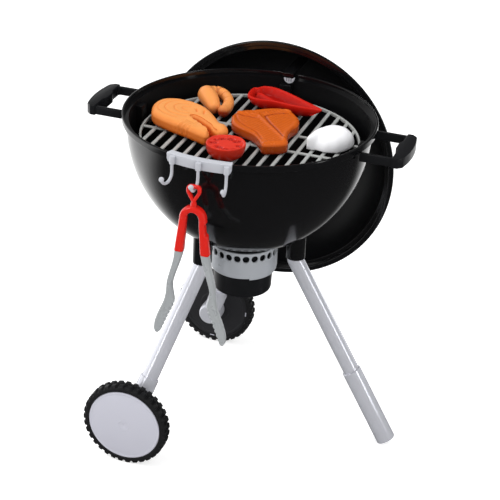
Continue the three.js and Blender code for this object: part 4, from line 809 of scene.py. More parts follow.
# Hook rail
def hook_rail():
    """Rail that clips over the rim, with three hooks under stubs."""
    start, end, steps, corner = -107.5, -78.3, 48, 4.0
    inner, top, low = RIM_RADIUS + GAP, 1.5, -9.3
    outer = inner + 3.2
    lip, lip_low = RIM_RADIUS - COLLAR_THICKNESS - 0.85, -5
    rows = []
    for i in range(steps + 1):
        azimuth = start + (end - start) * i / steps
        edge = min(min(azimuth - start, end - azimuth) * math.radians(1) * outer, corner)
        under = low + corner - math.sqrt(max(corner ** 2 - (corner - edge) ** 2, 0))
        section = rounded([(outer, top), (outer, under), (inner, under), (inner, GAP), (lip, GAP),
                           (lip, lip_low), (lip - 1.7, lip_low), (lip - 1.7, top)],
                          (1.1, 0.7, 0.4, 0, 0, 0.3, 0.4, 0.8), 3)
        rows.append([azimuth_point(radius, azimuth, z) for radius, z in section])
    build = Build().grid(rows, closed=True, caps=True)
    wire, ball, stub, sweep_angle, turns = 1.7, 2.9, 3.2, 166, 24
    for azimuth in HOOK_AZIMUTHS:
        route = [azimuth_point(HOOK_SHANK, azimuth, -1.2)]
        for i in range(turns + 1):
            angle = math.pi + math.radians(sweep_angle) * i / turns
            route.append(azimuth_point(HOOK_SHANK + HOOK_BEND * (1 + math.cos(angle)), azimuth,
                                       HOOK_BEND * (1 + math.sin(angle)) - HOOK_DEPTH))
        across = azimuth_point(1, azimuth + 90, 0)
        build.sweep(route, circle(wire, 20), across=across)
        build.sweep([azimuth_point(HOOK_SHANK, azimuth, z) for z in (0.2, -6, -8.2, low)], circle(stub, 20),
                    across=across, scale=[0.93, 1, 0.95, 0.62])
        build.join(sphere(route[-1], ball))
    build.make("rail", "rail_grey", "rack", "hook_rail")


def sphere(centre, radius, sides=24):
    rows = []
    for i in range(sides // 2 + 1):
        angle = math.pi * i / (sides // 2)
        ring = circle(radius * math.sin(angle), sides)
        rows.append([Vector(centre) + Vector((x, y, radius * math.cos(angle))) for x, y in ring])
    return Build().grid(rows, closed=True)


hook_rail()


# Tongs
ARM_PLACE, ARM_WIDTH, ARM_THICK, ARM_EDGE, ARM_LENGTH = 11, 8, 10, 3.7, 41


def softbox(wide, thick, radius, steps=5):
    return rounded([(-wide, -thick), (wide, -thick), (wide, thick), (-wide, thick)], radius, steps)


def tongs():
    """Bow with its hanging ring, two arms and two jaws, drawn about the hook's wire."""
    hang = Matrix.Translation(azimuth_point(HOOK_SHANK + HOOK_BEND, HOOK_AZIMUTHS[1], -HOOK_DEPTH))
    hole_top, bow_middle = 2.35, -32.5
    loop = rounded([(0, hole_top - 15.2), (6.3, hole_top - 4.4), (6.2, hole_top + 1.9), (0, hole_top + 2.1),
                    (-6.2, hole_top + 1.9), (-6.3, hole_top - 4.4)], (1.5, 5, 4.5, 4.5, 4.5, 5), 8)
    build = Build()
    build.sweep([(x, 0, z) for x, z in loop], softbox(1.95, 2.55, 1.7), across=(0, 1, 0), closed=True)
    build.sweep([(0, 0, hole_top - 14.2), (0, 0, hole_top - 17), (0, 0, -23)], softbox(3.0, 2.9, 2.4),
                across=(0, 1, 0), scale=[0.7, 1.0, 1.3])
    build.sweep([(x, 0, z) for x, z in arc((0, bow_middle), ARM_PLACE, 0, 180, 40)],
                softbox(ARM_WIDTH / 2, ARM_THICK / 2, ARM_EDGE, 8), across=(0, 1, 0))
    build.moved(hang).make("bow", "tongs_red", "tongs", "tongs_bow")
    for name, side in (("left", -1), ("right", 1)):
        tongs_arm(name, side, hang, bow_middle)
        tongs_jaw(name, side, hang, bow_middle - ARM_LENGTH - GAP)


def tongs_arm(name, side, hang, top):
    """Arm that leans out and widens downward, with a shallow notch outside the right one."""
    steps, widening, lean, notch = 44, 2.5, 4 / ARM_LENGTH, 2.0
    notch_top, notch_end = 3, 18
    rows = []
    for i in range(steps + 1):
        down = ARM_LENGTH * i / steps
        width = ARM_WIDTH + widening * down / ARM_LENGTH
        middle = ARM_PLACE + lean * down
        outer, inner = middle + width / 2, middle - width / 2
        if side > 0 and notch_top < down < notch_end:
            outer -= min(down - notch_top, notch_end - down, notch)
        centre, half = (outer + inner) / 2, (outer - inner) / 2
        end = min(down, ARM_LENGTH - down)
        draw = 1 - (1 - min(end / 0.6, 1)) ** 2 * 0.06
        section = softbox(half * draw, ARM_THICK / 2 * draw, ARM_EDGE, 8)
        rows.append([(side * (centre + u), v, top - down) for u, v in section])
    build = Build().grid(rows, closed=True, caps=True).moved(hang)
    build.make("arm_" + name, "tongs_red", "tongs_" + name, "tongs_arm_" + name)


def tongs_jaw(name, side, hang, top):
    """Flat grip that widens to a scalloped edge inside and carries a rib along its outside."""
    reach, length, steps = 42, 107, 150
    teeth, tooth_size, first_tooth, last_tooth = 8, 2.3, 0.58, 0.965
    outer_line = smooth([(0, 0.47), (0.12, 0.51), (0.35, 0.65), (0.48, 0.68), (0.6, 0.74), (0.76, 0.9),
                         (0.87, 0.985), (0.95, 0.995), (1, 0.93)], 8, closed=False)
    inner_line = smooth([(0, 0.24), (0.12, 0.32), (0.35, 0.5), (0.45, 0.51), (0.6, 0.45), (0.78, 0.625),
                         (0.95, 0.8), (1, 0.9)], 8, closed=False)
    # Share of the breadth, and of the thickness there
    round_shares = [(0.0, 0.35), (0.06, 0.8), (0.16, 1.0), (0.4, 1.0), (0.62, 1.02), (0.84, 1.0),
                    (0.95, 0.8), (1.0, 0.4)]

    def across(line, down):
        for a, b in zip(line, line[1:]):
            if a[0] <= down <= b[0] and b[0] > a[0]:
                return reach * (a[1] + (b[1] - a[1]) * (down - a[0]) / (b[0] - a[0]))
        return reach * line[-1][1]

    rows = []
    for i in range(steps + 1):
        down = i / steps
        outer, inner = across(outer_line, down), across(inner_line, down)
        if first_tooth < down < last_tooth:
            phase = (down - first_tooth) / (last_tooth - first_tooth) * teeth
            inner += tooth_size * (1 - abs(math.sin(math.pi * phase)) ** 0.7)
        flat = min(max((down - 0.35) / 0.2, 0), 1)
        tip = min((1 - down) / 0.02, 1) ** 0.5
        thick_outer, thick_inner = ((4.5 - thinner * flat) * (0.35 + 0.65 * tip) for thinner in (0.6, 1.7))
        section = []
        for way in (1, -1):
            for share, high in round_shares[::way]:
                thick = thick_inner + (thick_outer - thick_inner) * share
                rib = 0.45 * flat * tip if 0.3 < share < 0.7 else 0
                section.append((inner + (outer - inner) * share, way * (thick * high - rib)))
        rows.append([(side * x, y, top - length * down) for x, y in section])
    build = Build().grid(rows, closed=True, caps=True).moved(hang)
    build.make("jaw_" + name, "jaw_grey", "tongs_" + name, "tongs_jaw_" + name, sharp=40)


tongs()


# Lid: drawn upright with its mouth down, then hung behind the bowl
lid_turn = Matrix.Translation(LID_PLACE) @ Matrix.Rotation(math.radians(-90) - LID_TILT, 4, "X")


def dome(radius, height, base, steps=40):
    made = []
    for i in range(steps + 1):
        angle = math.pi / 2 * i / steps
        made.append((radius * math.cos(angle), base + height * math.sin(angle)))
    return made


def lid():
    inner_radius, inner_height, shoulder, outer_edge, mouth = 142.0, 77, 9, 154, 147.5
    outer = dome(inner_radius + WALL, inner_height + WALL, shoulder)
    profile = rounded([(mouth, 6), (mouth, 0), (outer_edge, 0), (outer_edge, 3), (150, shoulder), outer[0]],
                      (0.4, 1.2, 1.4, 1.4, 3, 0), 5, closed=False)
    profile += outer[1:] + dome(inner_radius, inner_height, shoulder)[::-1]
    profile += [(inner_radius, 6.6), (inner_radius + 0.6, 6), (mouth, 6)]
    made = Build().lathe(profile, 160).moved(lid_turn).make("lid_dome", "bowl_black", "lid", "lid_shell")
    upright = lid_turn.inverted()

    def inside(point):
        point = upright @ point
        out = math.hypot(point.xy.length / (inner_radius + WALL / 2),
                         max(point.z - shoulder, 0) / (inner_height + WALL / 2 - 0.05))
        return point.z > 5 and out < 1

    dull_inside(made, inside)

    def seat(x):
        """Height just inside the dome's wall, where the grip's feet end."""
        return shoulder + GAP + inner_height * math.sqrt(1 - (x / inner_radius) ** 2)

    half, post, under, top = 48, 33, 107.5, 120.5
    grip = rounded([(-half, seat(half)), (-half, top), (half, top), (half, seat(half)), (post, seat(post)),
                    (post, under), (-post, under), (-post, seat(post))], (0, 13, 13, 0, 0, 10, 10, 0), 8)
    bar = plate(grip, -7.5, 7.5, 2.4, 4).moved(lid_turn @ STANDING)
    bar.make("lid_grip", "matt_black", "lid", "lid_handle")
    vent_place, wide, tall = 84, inner_radius + WALL, inner_height + WALL
    rise = math.sqrt(1 - (vent_place / wide) ** 2) * tall
    lean = math.atan2(vent_place * tall ** 2, rise * wide ** 2)
    vent = Matrix.Translation((0, vent_place, shoulder + rise + 2)) @ Matrix.Rotation(-lean, 4, "X")
    damper().moved(lid_turn @ vent).make("lid_damper", "collar_silver", "lid", "lid_vent")


def damper():
    """Round plate with four holes round a knob."""
    radius, rim, hub, hole_place, hole, half = 21, 19.5, 6, 12, 4, 2
    bevel, bevel_share, cells, columns, levels = 0.3, 1.08, 4, 16, 6
    edge = patch_edge((-45, hub), (45, rim), columns, levels)
    border = [azimuth_point(reach, azimuth, 0) for azimuth, reach in edge]
    turns = [math.atan2(point.y, point.x - hole_place) for point in border]

    def ring(grow, height):
        reach = hole * grow
        return [(hole_place + reach * math.cos(turn), reach * math.sin(turn), height) for turn in turns]

    upper, lower = ([(p.x, p.y, height) for p in border] for height in (half, -half))
    cell = Build().grid([upper, ring(bevel_share, half), ring(1, half - bevel), ring(1, bevel - half),
                         ring(bevel_share, -half), lower], closed=True)
    build = Build()
    for i in range(cells):
        build.join(cell, turn_z(360 * i / cells))
    side = rounded([(rim, half), (radius, half), (radius, -half), (rim, -half)], (0, 0.8, 0.4, 0), 3,
                   closed=False)
    knob = rounded([(hub, half), (5, half), (4, 3 * half), (0, 3 * half)], (0, 0.5, 0.8, 0), 3, closed=False)
    for profile in (side, knob, [(0, -half), (hub, -half)]):
        build.lathe(profile, cells * columns)
    return build


def lid_hook():
    """Strap over the bowl's rim, and the grey round tab that hangs from it inside the bowl."""
    x, half, thick, top = 2.0, 6.7, 2.6, 2.9
    back = math.sqrt((WALL_RADIUS - WALL - 0.9) ** 2 - (x + half) ** 2)
    front, depth, disc_middle = back - thick, lid_inner_depth(x), half - 10
    upright = Matrix.Translation((0, back - thick / 2, 0)) @ STANDING
    strap = rounded([(x - half, front), (x + half, front), (x + half, depth), (x - half, depth)], 0.4, 2)
    stem = [(x - half, disc_middle), (x - half, 2.0), (x + half, 2.0), (x + half, disc_middle)]
    build = plate(strap, GAP, top, 0.5).join(plate(stem, -thick / 2, thick / 2, 0.3, 2), upright)
    build.make("lid_hook_strap", "bowl_black", "lid", "lid_hook")
    tab_x, tab_half, tab_top = x + 1.2, half * 0.985, -2.2
    tab = [(tab_x + px, disc_middle + pz) for px, pz in arc((0, 0), tab_half, 180, 360, 32)]
    tab += [(tab_x + tab_half, tab_top), (tab_x - tab_half, tab_top)]
    disc = plate(tab, -thick / 2 - 0.25, thick / 2, 0.6, 4).moved(upright)
    disc.make("lid_hook_tab", "rail_grey", "lid", "lid_hook")
    # Three dark strips in the tab's face are painted shade where its grooves are.
    marks = Build()
    low, high, mark_half = -7.2, -2.6, 0.4
    for share in (-0.4, 0, 0.4):
        middle = tab_x + half * share
        painted_shade_and_tone = [(middle - mark_half, low), (middle + mark_half, low), (middle + mark_half, high),
                  (middle - mark_half, high)]
        marks.join(plate(rounded(painted_shade_and_tone, 0.35, 2), thick / 2 - 0.3, thick / 2 + 0.15, 0.1, 2))
    marks.moved(upright).make("lid_hook_painted_shade", "matt_black", "lid", "lid_hook")


def lid_inner_depth(x):
    """How far back the inside of the lid lies at the height of the rim."""
    across = math.hypot(x - LID_PLACE.x, -LID_PLACE.z)
    return LID_PLACE.y + 9 + 77 * math.sqrt(max(1 - (across / 142) ** 2, 0)) - 3.5


lid()
lid_hook()


# Foods
def sculpt(name, build, look, body, node, voxel, rounds, shape, at):
    """Remeshes a rough form to an even grid, relaxes it and then lets shape move each point."""
    rough = bpy.data.meshes.new(name)
    rough.from_pydata([Vector(point) * MM for point in build.points], [], build.faces)
    weld(rough)
    lump = bpy.data.objects.new(name + "_rough", rough)
    bpy.context.scene.collection.objects.link(lump)
    remesh = lump.modifiers.new("even", "REMESH")
    remesh.mode = "VOXEL"
    remesh.voxel_size = voxel * MM
    soften = lump.modifiers.new("soft", "SMOOTH")
    soften.factor = 0.5
    soften.iterations = rounds
    ready = lump.evaluated_get(bpy.context.evaluated_depsgraph_get())
    mesh = bpy.data.meshes.new_from_object(ready)
    bpy.data.objects.remove(lump)
    bpy.data.meshes.remove(rough)
    mesh.name = name
    # The attribute keeps what shape gives as depth: painted shade, with some of the food's own darker tone.
    mark = mesh.attributes.new("painted_shade_and_tone", "FLOAT", "POINT")
    start = [(vertex.co / MM, vertex.normal.copy()) for vertex in mesh.vertices]
    places, marks = [], []
    for point, normal in start:
        point, depth = shape(point, normal)
        places.extend(place(point + Vector((at[0], at[1], FOOD_BASE))))
        marks.append(min(max(depth, 0), 1))
    mesh.vertices.foreach_set("co", places)
    mark.data.foreach_set("value", marks)
    mesh.update()
    mesh.shade_smooth()
    return piece(name, mesh, look, body, node)


def track(points, closed=False, step=0.4):
    """Close points along a line in plan, to measure distances from it."""
    ends = [Vector(point[:2]) for point in points]
    if closed:
        ends.append(ends[0])
    dense = [ends[-1]]
    for a, b in zip(ends, ends[1:]):
        count = max(int((b - a).length / step), 1)
        dense += [a.lerp(b, k / count) for k in range(count)]
    tree = KDTree(len(dense))
    for i, point in enumerate(dense):
        tree.insert((point.x, point.y, 0), i)
    tree.balance()
    return tree


def away(tree, point):
    return tree.find((point.x, point.y, 0))[2]


# Outlines in plan from the food's middle, in the order that runs round it
SALMON = [
    (-49, 3.5), (-52.3, 15.7), (-52, 26.8), (-48, 35.6), (-41.2, 40.5), (-33.6, 43.4), (-26.3, 44.1),
    (-17.1, 43), (-8.9, 41), (1.7, 35.9), (10.2, 29.8), (20.1, 19.5), (28.1, 9.5), (34.2, 1), (39.9, -4.7),
    (45, -5.5), (49.7, -11.9), (52.6, -20), (51, -28.5), (44, -31), (36, -25.5), (30.2, -17.5), (23.4, -12),
    (17.9, -7.5), (12.6, -3.5), (7, -0.6), (2.6, -0.3), (2.3, -2.6), (5.9, -5.4), (9.6, -9.6),
    (13.6, -11.4), (17, -15.4), (21.4, -17.4), (24.4, -21.4), (28.8, -24), (33, -29), (36, -35),
    (37.5, -42), (34, -45.5), (26, -42.5), (16, -38), (4, -33), (-9, -28.5), (-22, -23), (-34, -17),
    (-43.5, -9),
]
STEAK = [
    (-40.4, 3.9), (-42, 12), (-41.8, 19.5), (-39.5, 27), (-34.6, 33), (-27.4, 37), (-21, 42), (-14, 48),
    (-4.4, 53.5), (5, 55.8), (13.9, 54), (21.1, 47), (29, 37), (34, 26.5), (35.6, 14.5), (33.2, 4.5),
    (32.6, -8.4), (36.1, -23.9), (40.8, -37.1), (38.5, -44.5), (30, -50), (21.5, -54.5), (16.5, -54.5),
    (12.2, -48.5), (5, -37.5), (-5, -28), (-17.2, -22), (-28.3, -15), (-35.9, -7),
]
PEPPER = [
    (-45.4, -15), (-48, -4), (-48.3, 6.5), (-46.8, 12.5), (-43.2, 13.5), (-41, 18), (-36.3, 22.2),
    (-24.2, 22.8), (-9.6, 16.7), (6.1, 7.5), (21.6, -2.6), (36.6, -11.8), (44.5, -17.2), (48, -20.4),
    (45.6, -22.8), (34.5, -23.4), (22.4, -23.2), (9.9, -22.6), (-3.6, -20.6), (-13.5, -20.2),
    (-25.3, -21.8), (-35.5, -21),
]
ONION = [
    (-0.5, -0.48), (-0.25, -0.47), (0.02, -0.5), (0.3, -0.39), (0.49, -0.1), (0.49, 0.24), (0.28, 0.46),
    (-0.04, 0.5), (-0.34, 0.35), (-0.46, 0.05), (-0.5, -0.26),
]


def salmon():
    """Slice with a slit between its two flaps, rings in its top and a softly rounded edge."""
    height = 16.6
    outline = smooth(SALMON, 4)
    slit = smooth(SALMON[20:36], 4, closed=False)
    border = track(outline[36 * 4:] + outline[:20 * 4])
    gap = track(slit)
    rings = [
        [(-10.8, -14.3), (-24.9, -9.5), (-36.6, -1.9), (-43.2, 8.3), (-43.6, 21.6), (-38.1, 32.7),
         (-26, 38), (-10, 36)],
        [(-2, -6.5), (-14.9, -4.9), (-26.1, -0.3), (-34.8, 8.9), (-36.2, 21.7), (-30.1, 31.4), (-17, 33.5)],
        [(-0.1, 3.1), (-6.3, 2.9), (-15.5, 3.7), (-23.8, 10.8), (-26.1, 21.4), (-19.4, 28), (-8, 28)],
        [(-8, 10), (-14.5, 13), (-15.5, 19), (-8, 21.5)],
    ]
    rings = [track(smooth(line, 6, closed=False)) for line in rings]
    dents = [track(line) for line in ([(0.5, 18.2), (4, 11.5)], [(10.5, 17.5), (13.2, 8.2)])]
    bumps = [track(line) for line in ([(2.5, -17.5), (-3, -29)], [(8.4, -20.3), (2.6, -31.5)],
                                      [(14.2, -23), (8.6, -34.5)])]

    def shape(point, normal):
        # depth is painted shade: darker on the sides, towards the base, near the top's edge and in the rings
        # and dents.
        depth = 0.8 * (1 - eased(normal.z, -0.3, 1.0)) + 0.25 * (1 - eased(point.z, 0, 8))
        if normal.z > 0.2:
            edge = away(border, point)
            depth = max(depth, 0.45 * max(0, 1 - edge / 9) ** 1.5)
            fall = 1.2 * max(0, 1 - edge / 12) ** 2.2 + 0.7 * max(0, 1 - away(gap, point) / 4) ** 2
            point = point - Vector((0, 0, fall * normal.z))
            for line in rings:
                near = mound(away(line, point), 0.8)
                point = point - Vector((0, 0, 0.75 * near))
                depth = max(depth, 0.4 * near)
            for line in dents:
                near = mound(away(line, point), 1.2)
                point = point - Vector((0, 0, 1.3 * near))
                depth = max(depth, 0.6 * near)
        if point.z > 4:
            reach = eased(point.z, 4, 8)
            for line in bumps:
                near = away(line, point)
                point = point + normal * (1.0 * mound(near, 1.1) - 0.5 * mound(near - 2.8, 1.1)) * reach
        return point, depth

    sculpt("salmon", plate(outline, 0, height, 6, 8), "salmon_orange", "food_salmon_steak", "salmon_steak",
           0.75, 10, shape, (-67.5, -12))


def steak():
    """Slab with the T of the bone raised in its top between grooves darkened with painted shade."""
    outline = smooth(STEAK, 4)
    border = track(outline, closed=True)
    ridges = [
        [(-15.8, 25.6), (-7.8, 16.2), (8.1, -2.2), (26.5, -22), (34, -30.8)],
        [(-41, 24.4), (-28.3, 23), (-17.3, 26.3)],
        [(-8.4, 32.4), (-0.9, 42.6), (8.8, 50.5), (14.8, 50.7)],
        [(-41.5, 10.2), (-31.9, -8.1), (-17.8, -20.7), (-1, -31.6), (12, -48.7)],
        [(34.6, -30.6), (30.5, -10.7), (31.7, 5.7), (30.6, 27.7)],
        [(15.8, -51.5), (21.8, -43.2), (31.7, -38), (36.9, -32.5)],
    ]
    ridges = [track(smooth(line, 6, closed=False)) for line in ridges]
    grooves = [
        [(-7, 24.8), (4.3, 8.9), (16.1, -4.8), (30.7, -24)],
        [(-37.5, 17.8), (-24.5, 15.6), (-14.5, 16.4)],
        [(-6.2, 25.9), (1.4, 35.7), (13.3, 44)],
        [(-38.6, 14.9), (-31.3, 0.3), (-17.2, -12.4), (-1.7, -22.6), (10.3, -38.8)],
    ]
    grooves = [track(smooth(line, 6, closed=False)) for line in grooves]

    def shape(point, normal):
        edge = away(border, point)
        # depth is painted shade on the sides, towards the base, near the top's edge and in the grooves; the
        # grain adds darker streaks of the meat's own tone.
        depth = (0.55 + 0.45 * (1 - eased(point.z, 0, 7))) * (1 - eased(normal.z, 0.0, 0.7))
        if normal.z > 0.3:
            depth = max(depth, 0.35 * max(0, 1 - edge / 6) ** 1.5)
            lift = -0.9 * max(0, 1 - edge / 5) ** 2
            grain = math.sin(0.55 * point.x + 1.5 * point.y + 1.2 * math.sin(0.21 * point.x))
            lift += 0.1 * grain * eased(edge, 4, 9)
            depth = max(depth, 0.14 * (1 + grain) * eased(edge, 4, 9))
            for number, line in enumerate(ridges):
                lift += (1.5 if number < 3 else 0.7) * mound(away(line, point), 2.0)
            for number, line in enumerate(grooves):
                near = mound(away(line, point), 1.2)
                lift -= (1.5 if number < 3 else 0.7) * near
                depth = max(depth, (1.0 if number < 3 else 0.5) * near)
            point = point + Vector((0, 0, lift))
        return point, depth

    sculpt("steak", plate(outline, 0, 12.2, 2.0, 4), "steak_brown", "food_beef_steak", "beef_steak",
           0.75, 6, shape, (15, 5.5))


def prawn_form():
    """Thick smooth lobe folded against a thinner arm with rings, whose tip curls back to it; the tip is
    darker, partly in its own colour and partly with painted shade.
    """
    stations = [
        (3.0, -21.1, 7.8), (-1.2, -15.3, 9.2), (-6.7, -7.4, 10.4), (-12.2, -0.2, 11.0),
        (-16.1, 5.2, 10.8), (-17.0, 10.7, 9.9), (-15.8, 17.1, 8.6), (-13.3, 20.8, 8.2),
        (-9.8, 23.0, 8.0), (-5.2, 24.3, 7.4), (0.6, 21.1, 7.0), (6.6, 14.3, 6.8),
        (11.5, 5.1, 6.7), (15.0, -5.9, 6.8), (16.7, -17.6, 6.9), (16.8, -26.6, 6.9),
    ]
    line = smooth([(x, y) for x, y, _ in stations], 12, closed=False)
    sizes = smooth([(size, 0) for _, _, size in stations], 12, closed=False)
    build = Build()
    for k in range(0, len(line), 3):
        size = sizes[k][0]
        build.join(sphere((line[k].x, line[k].y, size * 0.99), size, 20))
    tip = Vector((17.3, -31.0, 3))
    under = Vector((3.1, -15.9, 3))
    crease = track([(-22.1, 36.1), (-16.4, 31), (-11, 24.6), (-6.5, 16.8)])
    rings = []
    for spot in [(-4, 33.1), (6.2, 20.3), (12.6, 5.2), (16, -7.9)]:
        k = min(range(1, len(line) - 1), key=lambda i: (line[i] - Vector(spot)).length)
        rings.append((line[k], (line[k + 1] - line[k - 1]).normalized()))

    def shape(point, normal):
        # depth is painted shade on the sides, under the lobe, in the rings and in the crease; at the tip it
        # is partly painted shade and partly the tail's own darker colour.
        depth = 0.4 * (1 - eased(normal.z, -0.3, 0.7)) + 1.2 * mound((point - tip).length, 9)
        depth += 0.9 * mound((point - under).length, 8)
        for middle, ahead in rings:
            off = point.xy - middle.xy
            if off.length < 9:
                near = mound(off.dot(ahead.xy), 0.9)
                point = point - normal * 0.9 * near
                depth = max(depth, 0.4 * near)
        near = mound(away(crease, point), 1.3) * eased(normal.z, 0, 0.5)
        point = point - normal * 0.8 * near
        return point, max(depth, 0.5 * near)

    sculpt("prawn_body", build, "prawn_orange", "food_prawn", "prawn", 0.65, 4, shape, (-60.7, 60.5))


# Place of each pocket of seeds from the tomato's middle, its half breadth and half length
TOMATO_POCKETS = [
    (1.4, 12.0, 3.0, 2.6), (10.1, 9.0, 2.4, 3.4), (-13.2, -3.9, 2.6, 3.2), (-3.5, -12.9, 3.6, 2.4),
    (15.9, -2.4, 2.2, 2.6), (5.2, -16.2, 3.2, 2.2), (13.7, -14.1, 3.0, 2.4), (-7.5, 9.1, 3.4, 2.2),
    (-7.7, -18.7, 2.4, 2.2), (-12.8, 4.5, 2.2, 2.0),
]


def tomato():
    """Half with a smooth middle, and pockets of seeds between it and the skin."""
    radius, height, base = 22, 17, 12
    profile = [(0, 0)]
    for i in range(17):
        angle = math.pi / 2 * i / 16
        profile.append((base + (radius - base) * math.sin(angle), height * 0.93 * (1 - math.cos(angle))))
    profile += [(21.9, height - 0.5), (21.4, height), (20.6, height + 0.1), (19.8, height - 0.1)]
    rings = 48
    for i in range(1, rings + 1):
        profile.append((19.6 * (1 - i / rings), height - 0.9))
    build = Build().lathe(profile, 192)
    points = []
    marks = []
    for point in build.points:
        r, turn = math.hypot(point.x, point.y), math.atan2(point.y, point.x)
        # mark is painted shade: darker towards the base and in the pockets round the seeds.
        mark = 0.35 * (1 - eased(point.z, 0, 12))
        if point.z > height - 1 and r < 19.65:
            pocket, seed = 0, 0
            for x, y, wide, long in TOMATO_POCKETS:
                out = Vector((x, y)).normalized()
                off = point.xy - Vector((x, y))
                if off.length > 6:
                    continue
                along, across = off.dot(out), out.x * off.y - out.y * off.x
                pocket = max(pocket, 1 - eased(math.hypot(along / long, across / wide), 0.9, 1.8))
                for shift, inner in ((-0.9, 0.8), (-0.1, -1.0), (0.8, 0.7)):
                    spot = math.hypot(along - inner, across - shift * wide)
                    seed = max(seed, 1 - eased(spot, 0.4, 1.2))
            point = Vector((point.x, point.y, height - 0.55 - 2.2 * pocket + 1.7 * seed * pocket))
            mark = max(mark, pocket * (1 - seed))
        swell = 1 + 0.012 * math.cos(5 * turn + 0.6) * eased(point.z, 0, 9)
        points.append(Vector((point.x * swell, point.y * swell, point.z)) + Vector((-3, -71, FOOD_BASE)))
        marks.append(mark)
    mesh = bpy.data.meshes.new("tomato")
    mesh.from_pydata([place(point) for point in points], [], build.faces)
    attribute = mesh.attributes.new("painted_shade_and_tone", "FLOAT", "POINT")
    for i, mark in enumerate(marks):
        attribute.data[i].value = mark
    weld(mesh)
    mesh.shade_smooth()
    piece("tomato", mesh, "tomato_red", "food_tomato_half", "tomato_half")


def pepper():
    """Long half with its hollow side up: a thick wall, a core at its stem end and a ridge from it."""
    height = 16.2
    outline = anticlockwise(smooth(PEPPER, 6))
    centre = Vector((-4, -2))

    def drawn(p, up):
        """The point at a share of the height, with the narrow tip drawn in below the rim."""
        return p.x - 14 * max(1 - up, 0) ** 1.4 * eased(p.x, 12, 48), p.y, up * height

    rows = []
    for up, out in ((0.0, 0.35), (0.03, 0.52), (0.11, 0.68), (0.25, 0.81), (0.45, 0.91),
                    (0.68, 0.965), (0.88, 1.0), (0.97, 0.995), (1.0, 0.965)):
        rows.append([drawn(centre + (p - centre) * out, up) for p in outline])
    for draw, up in ((2.0, 1.0), (2.9, 0.965), (3.5, 0.88), (4.6, 0.66), (6.2, 0.5)):
        rows.append([drawn(p, up) for p in inset(outline, draw)])
    core = track(smooth([(-41, 4), (-36, 5), (-27, -1), (-10, -9), (12, -14), (34, -18.5)], 6, closed=False))
    last = inset(outline, 6.2)
    steps = 14
    for k in range(1, steps + 1):
        share = 1 - k / (steps + 0.5)
        ring = []
        for p in last:
            spot = centre + (Vector(p) - centre) * share
            rise = mound(away(core, spot), 3.6) * (0.42 - 0.26 * eased(spot.x, -36, 25))
            ring.append(drawn(spot, 0.40 + rise))
        rows.append(ring)
    build = Build().grid(rows, closed=True, caps=True)
    build = build.moved(Matrix.Translation((17.5, 87.5, FOOD_BASE)))
    made = build.make("pepper", "pepper_red", "food_pepper_half", "pepper_half", sharp=75)
    # The attribute is painted shade: darker towards the bottom, in the hollow and down the outer wall.
    mark = made.data.attributes.new("painted_shade_and_tone", "FLOAT", "POINT")
    low = place((0, 0, FOOD_BASE)).z
    for i, vertex in enumerate(made.data.vertices):
        up = (vertex.co.z - low) / (height * MM)
        mark.data[i].value = 0.75 * (1 - eased(up, 0.35, 0.9))


def onion():
    """Half that lies on its cut face, with a blunt stem at its lower left corner."""
    length, width, height = 45, 53, 20
    outline = anticlockwise(smooth([(x * length, y * width) for x, y in ONION], 8))
    stems = []
    for p in outline:
        side = 1 - eased(p.x, -0.5 * length, -0.3 * length)
        stems.append(10.5 * side * (1 - eased(p.y, -0.15 * width, 0.42 * width)))
    rows = [[(p.x * 0.97, p.y * 0.97, 0) for p in outline], [(p.x, p.y, 0.6) for p in outline],
            [(p.x, p.y, 0.6 + 0.5 * stem) for p, stem in zip(outline, stems)]]
    levels = 24
    for k in range(levels + 1):
        angle = math.pi / 2 * k / levels
        out = max(math.cos(angle) ** 0.85, 0.02)
        row = []
        for p, stem in zip(outline, stems):
            turn = math.atan2(p.y + 9, p.x + 14)
            ridge = 1 + 0.006 * math.cos(14 * turn) * math.sin(2 * angle)
            foot = 0.6 + stem
            row.append((p.x * out * ridge, p.y * out * ridge, foot + (height - foot) * math.sin(angle)))
        rows.append(row)
    build = Build().grid(rows, closed=True, caps=True)
    build = build.moved(Matrix.Translation((95, 11.5, FOOD_BASE)))
    build.make("onion", "onion_white", "food_onion_half", "onion_half", sharp=60)


salmon()
steak()
prawn_form()
tomato()
pepper()
onion()


# Floor, light and camera
def stage():
    """Floor that the camera sees white with the shadow left on it, and gloss sees dim in front."""
    half = 6
    mesh = bpy.data.meshes.new("floor")
    corners = [(-half, -half, 0), (half, -half, 0), (half, half, 0), (-half, half, 0)]
    mesh.from_pydata(corners, [], [(0, 1, 2, 3)])
    floor = bpy.data.objects.new("floor", mesh)
    bpy.context.scene.collection.objects.link(floor)
    paint = bpy.data.materials.new("floor_white")
    tree = Tree(paint)
    shader = tree.nodes["Principled BSDF"]
    tree.fill(shader, {"Base Color": (0.8, 0.8, 0.8, 1), "Roughness": 0.9, "Specular IOR Level": 0.1})
    watched = tree.add("Math", {0: tree.ray("Camera"), 1: tree.ray("Glossy")}, operation="MAXIMUM")
    lift = tree.add("Math", {0: watched, 1: 0.58}, operation="MULTIPLY")
    lit = tree.add("AddShader", {0: shader.outputs[0], 1: tree.add("Emission", {"Strength": lift})})
    table = tree.add("BsdfDiffuse", {"Color": (0.05, 0.05, 0.05, 1)})
    front = tree.smoothstep(tree.toward("Object", (-0.6, 0.8, 0)), 0.05, 0.45, 1, 0)
    dim = tree.add("Math", {0: tree.ray("Glossy"), 1: front}, operation="MULTIPLY")
    seen = tree.add("MixShader", {0: dim, 1: lit, 2: table})
    tree.fill(tree.nodes["Material Output"], {"Surface": seen})
    mesh.materials.append(paint)


def lamp(name, location, size, power, mirrored):
    light = bpy.data.lights.new(name, "AREA")
    light.shape = "RECTANGLE"
    light.size, light.size_y = size
    light.energy = power
    made = bpy.data.objects.new(name, light)
    made.location = location
    made.visible_glossy = mirrored
    made.rotation_mode = "QUATERNION"
    made.rotation_quaternion = (Vector((0, 0, 0.25)) - Vector(location)).to_track_quat("-Z", "Y")
    bpy.context.scene.collection.objects.link(made)


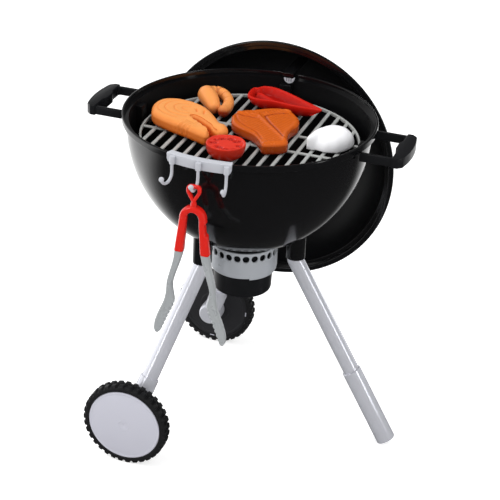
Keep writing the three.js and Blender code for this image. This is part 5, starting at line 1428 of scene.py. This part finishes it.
# Name, place in metres, breadth and length, power, and whether gloss shows it
LAMPS = [
    ("key", (-1.6, -0.6, 1.5), (1.2, 1.2), 18, False), ("fill", (1.5, -1.6, 1.0), (1.0, 1.0), 12, False),
    ("top", (0.1, 0.3, 2.0), (1.2, 1.2), 12, False), ("glint", (-0.4, -0.6, 2.2), (0.3, 0.3), 3.6, True),
    ("left_line", (-0.67, -1.23, 0.76), (0.18, 1.0), 2.2, True),
    ("right_line", (1.44, -0.31, 0.52), (0.18, 1.0), 2.2, True),
]


def lighting():
    """White room to the camera; gloss sees it bright at the left and back, and dim in front."""
    world = bpy.data.worlds.new("studio")
    bpy.context.scene.world = world
    tree = Tree(world)
    way = Vector((-1, 0.2, -0.45)).normalized()
    room = tree.smoothstep(tree.toward("Generated", way), 0.22, 0.7, 0.08, 1.0)
    seen = tree.add("Math", {0: tree.ray("Camera"), 1: tree.ray("Transmission")}, operation="MAXIMUM")
    strength = tree.add("Mix", {0: tree.ray("Glossy"), 2: 0.6, 3: room}, data_type="FLOAT")
    strength = tree.add("Mix", {0: seen, 2: strength, 3: 1.0}, data_type="FLOAT")
    tree.fill(tree.nodes["Background"], {"Color": (1, 1, 1, 1), "Strength": strength})
    for values in LAMPS:
        lamp(*values)


def camera():
    """Camera fitted to the photograph, whose frame is 500 pixels wide and high."""
    azimuth, elevation, roll = math.radians(17.88), math.radians(27.34), math.radians(2.8)
    focal, distance, frame, sensor = 1553.26, 1753.97, 500, 36
    rim_pixel = (250.26, 113.84)
    back = Vector((math.sin(azimuth) * math.cos(elevation), -math.cos(azimuth) * math.cos(elevation),
                   math.sin(elevation)))
    right = Vector((math.cos(azimuth), math.sin(azimuth), 0))
    up = right.cross(-back)
    side = math.cos(roll) * right + math.sin(roll) * up
    top = -math.sin(roll) * right + math.cos(roll) * up
    across, down = ((pixel - frame / 2) / focal for pixel in rim_pixel)
    data = bpy.data.cameras.new("view")
    data.sensor_width = sensor
    data.lens = sensor * focal / frame
    made = bpy.data.objects.new("view", data)
    spot = RIM_MIDDLE - distance * MM * (-back + across * side - down * top)
    made.matrix_world = Matrix.Translation(spot) @ Matrix((side, top, back)).transposed().to_4x4()
    bpy.context.scene.collection.objects.link(made)
    bpy.context.scene.camera = made


stage()
lighting()
camera()
bpy.context.scene.view_settings.view_transform = "Standard"
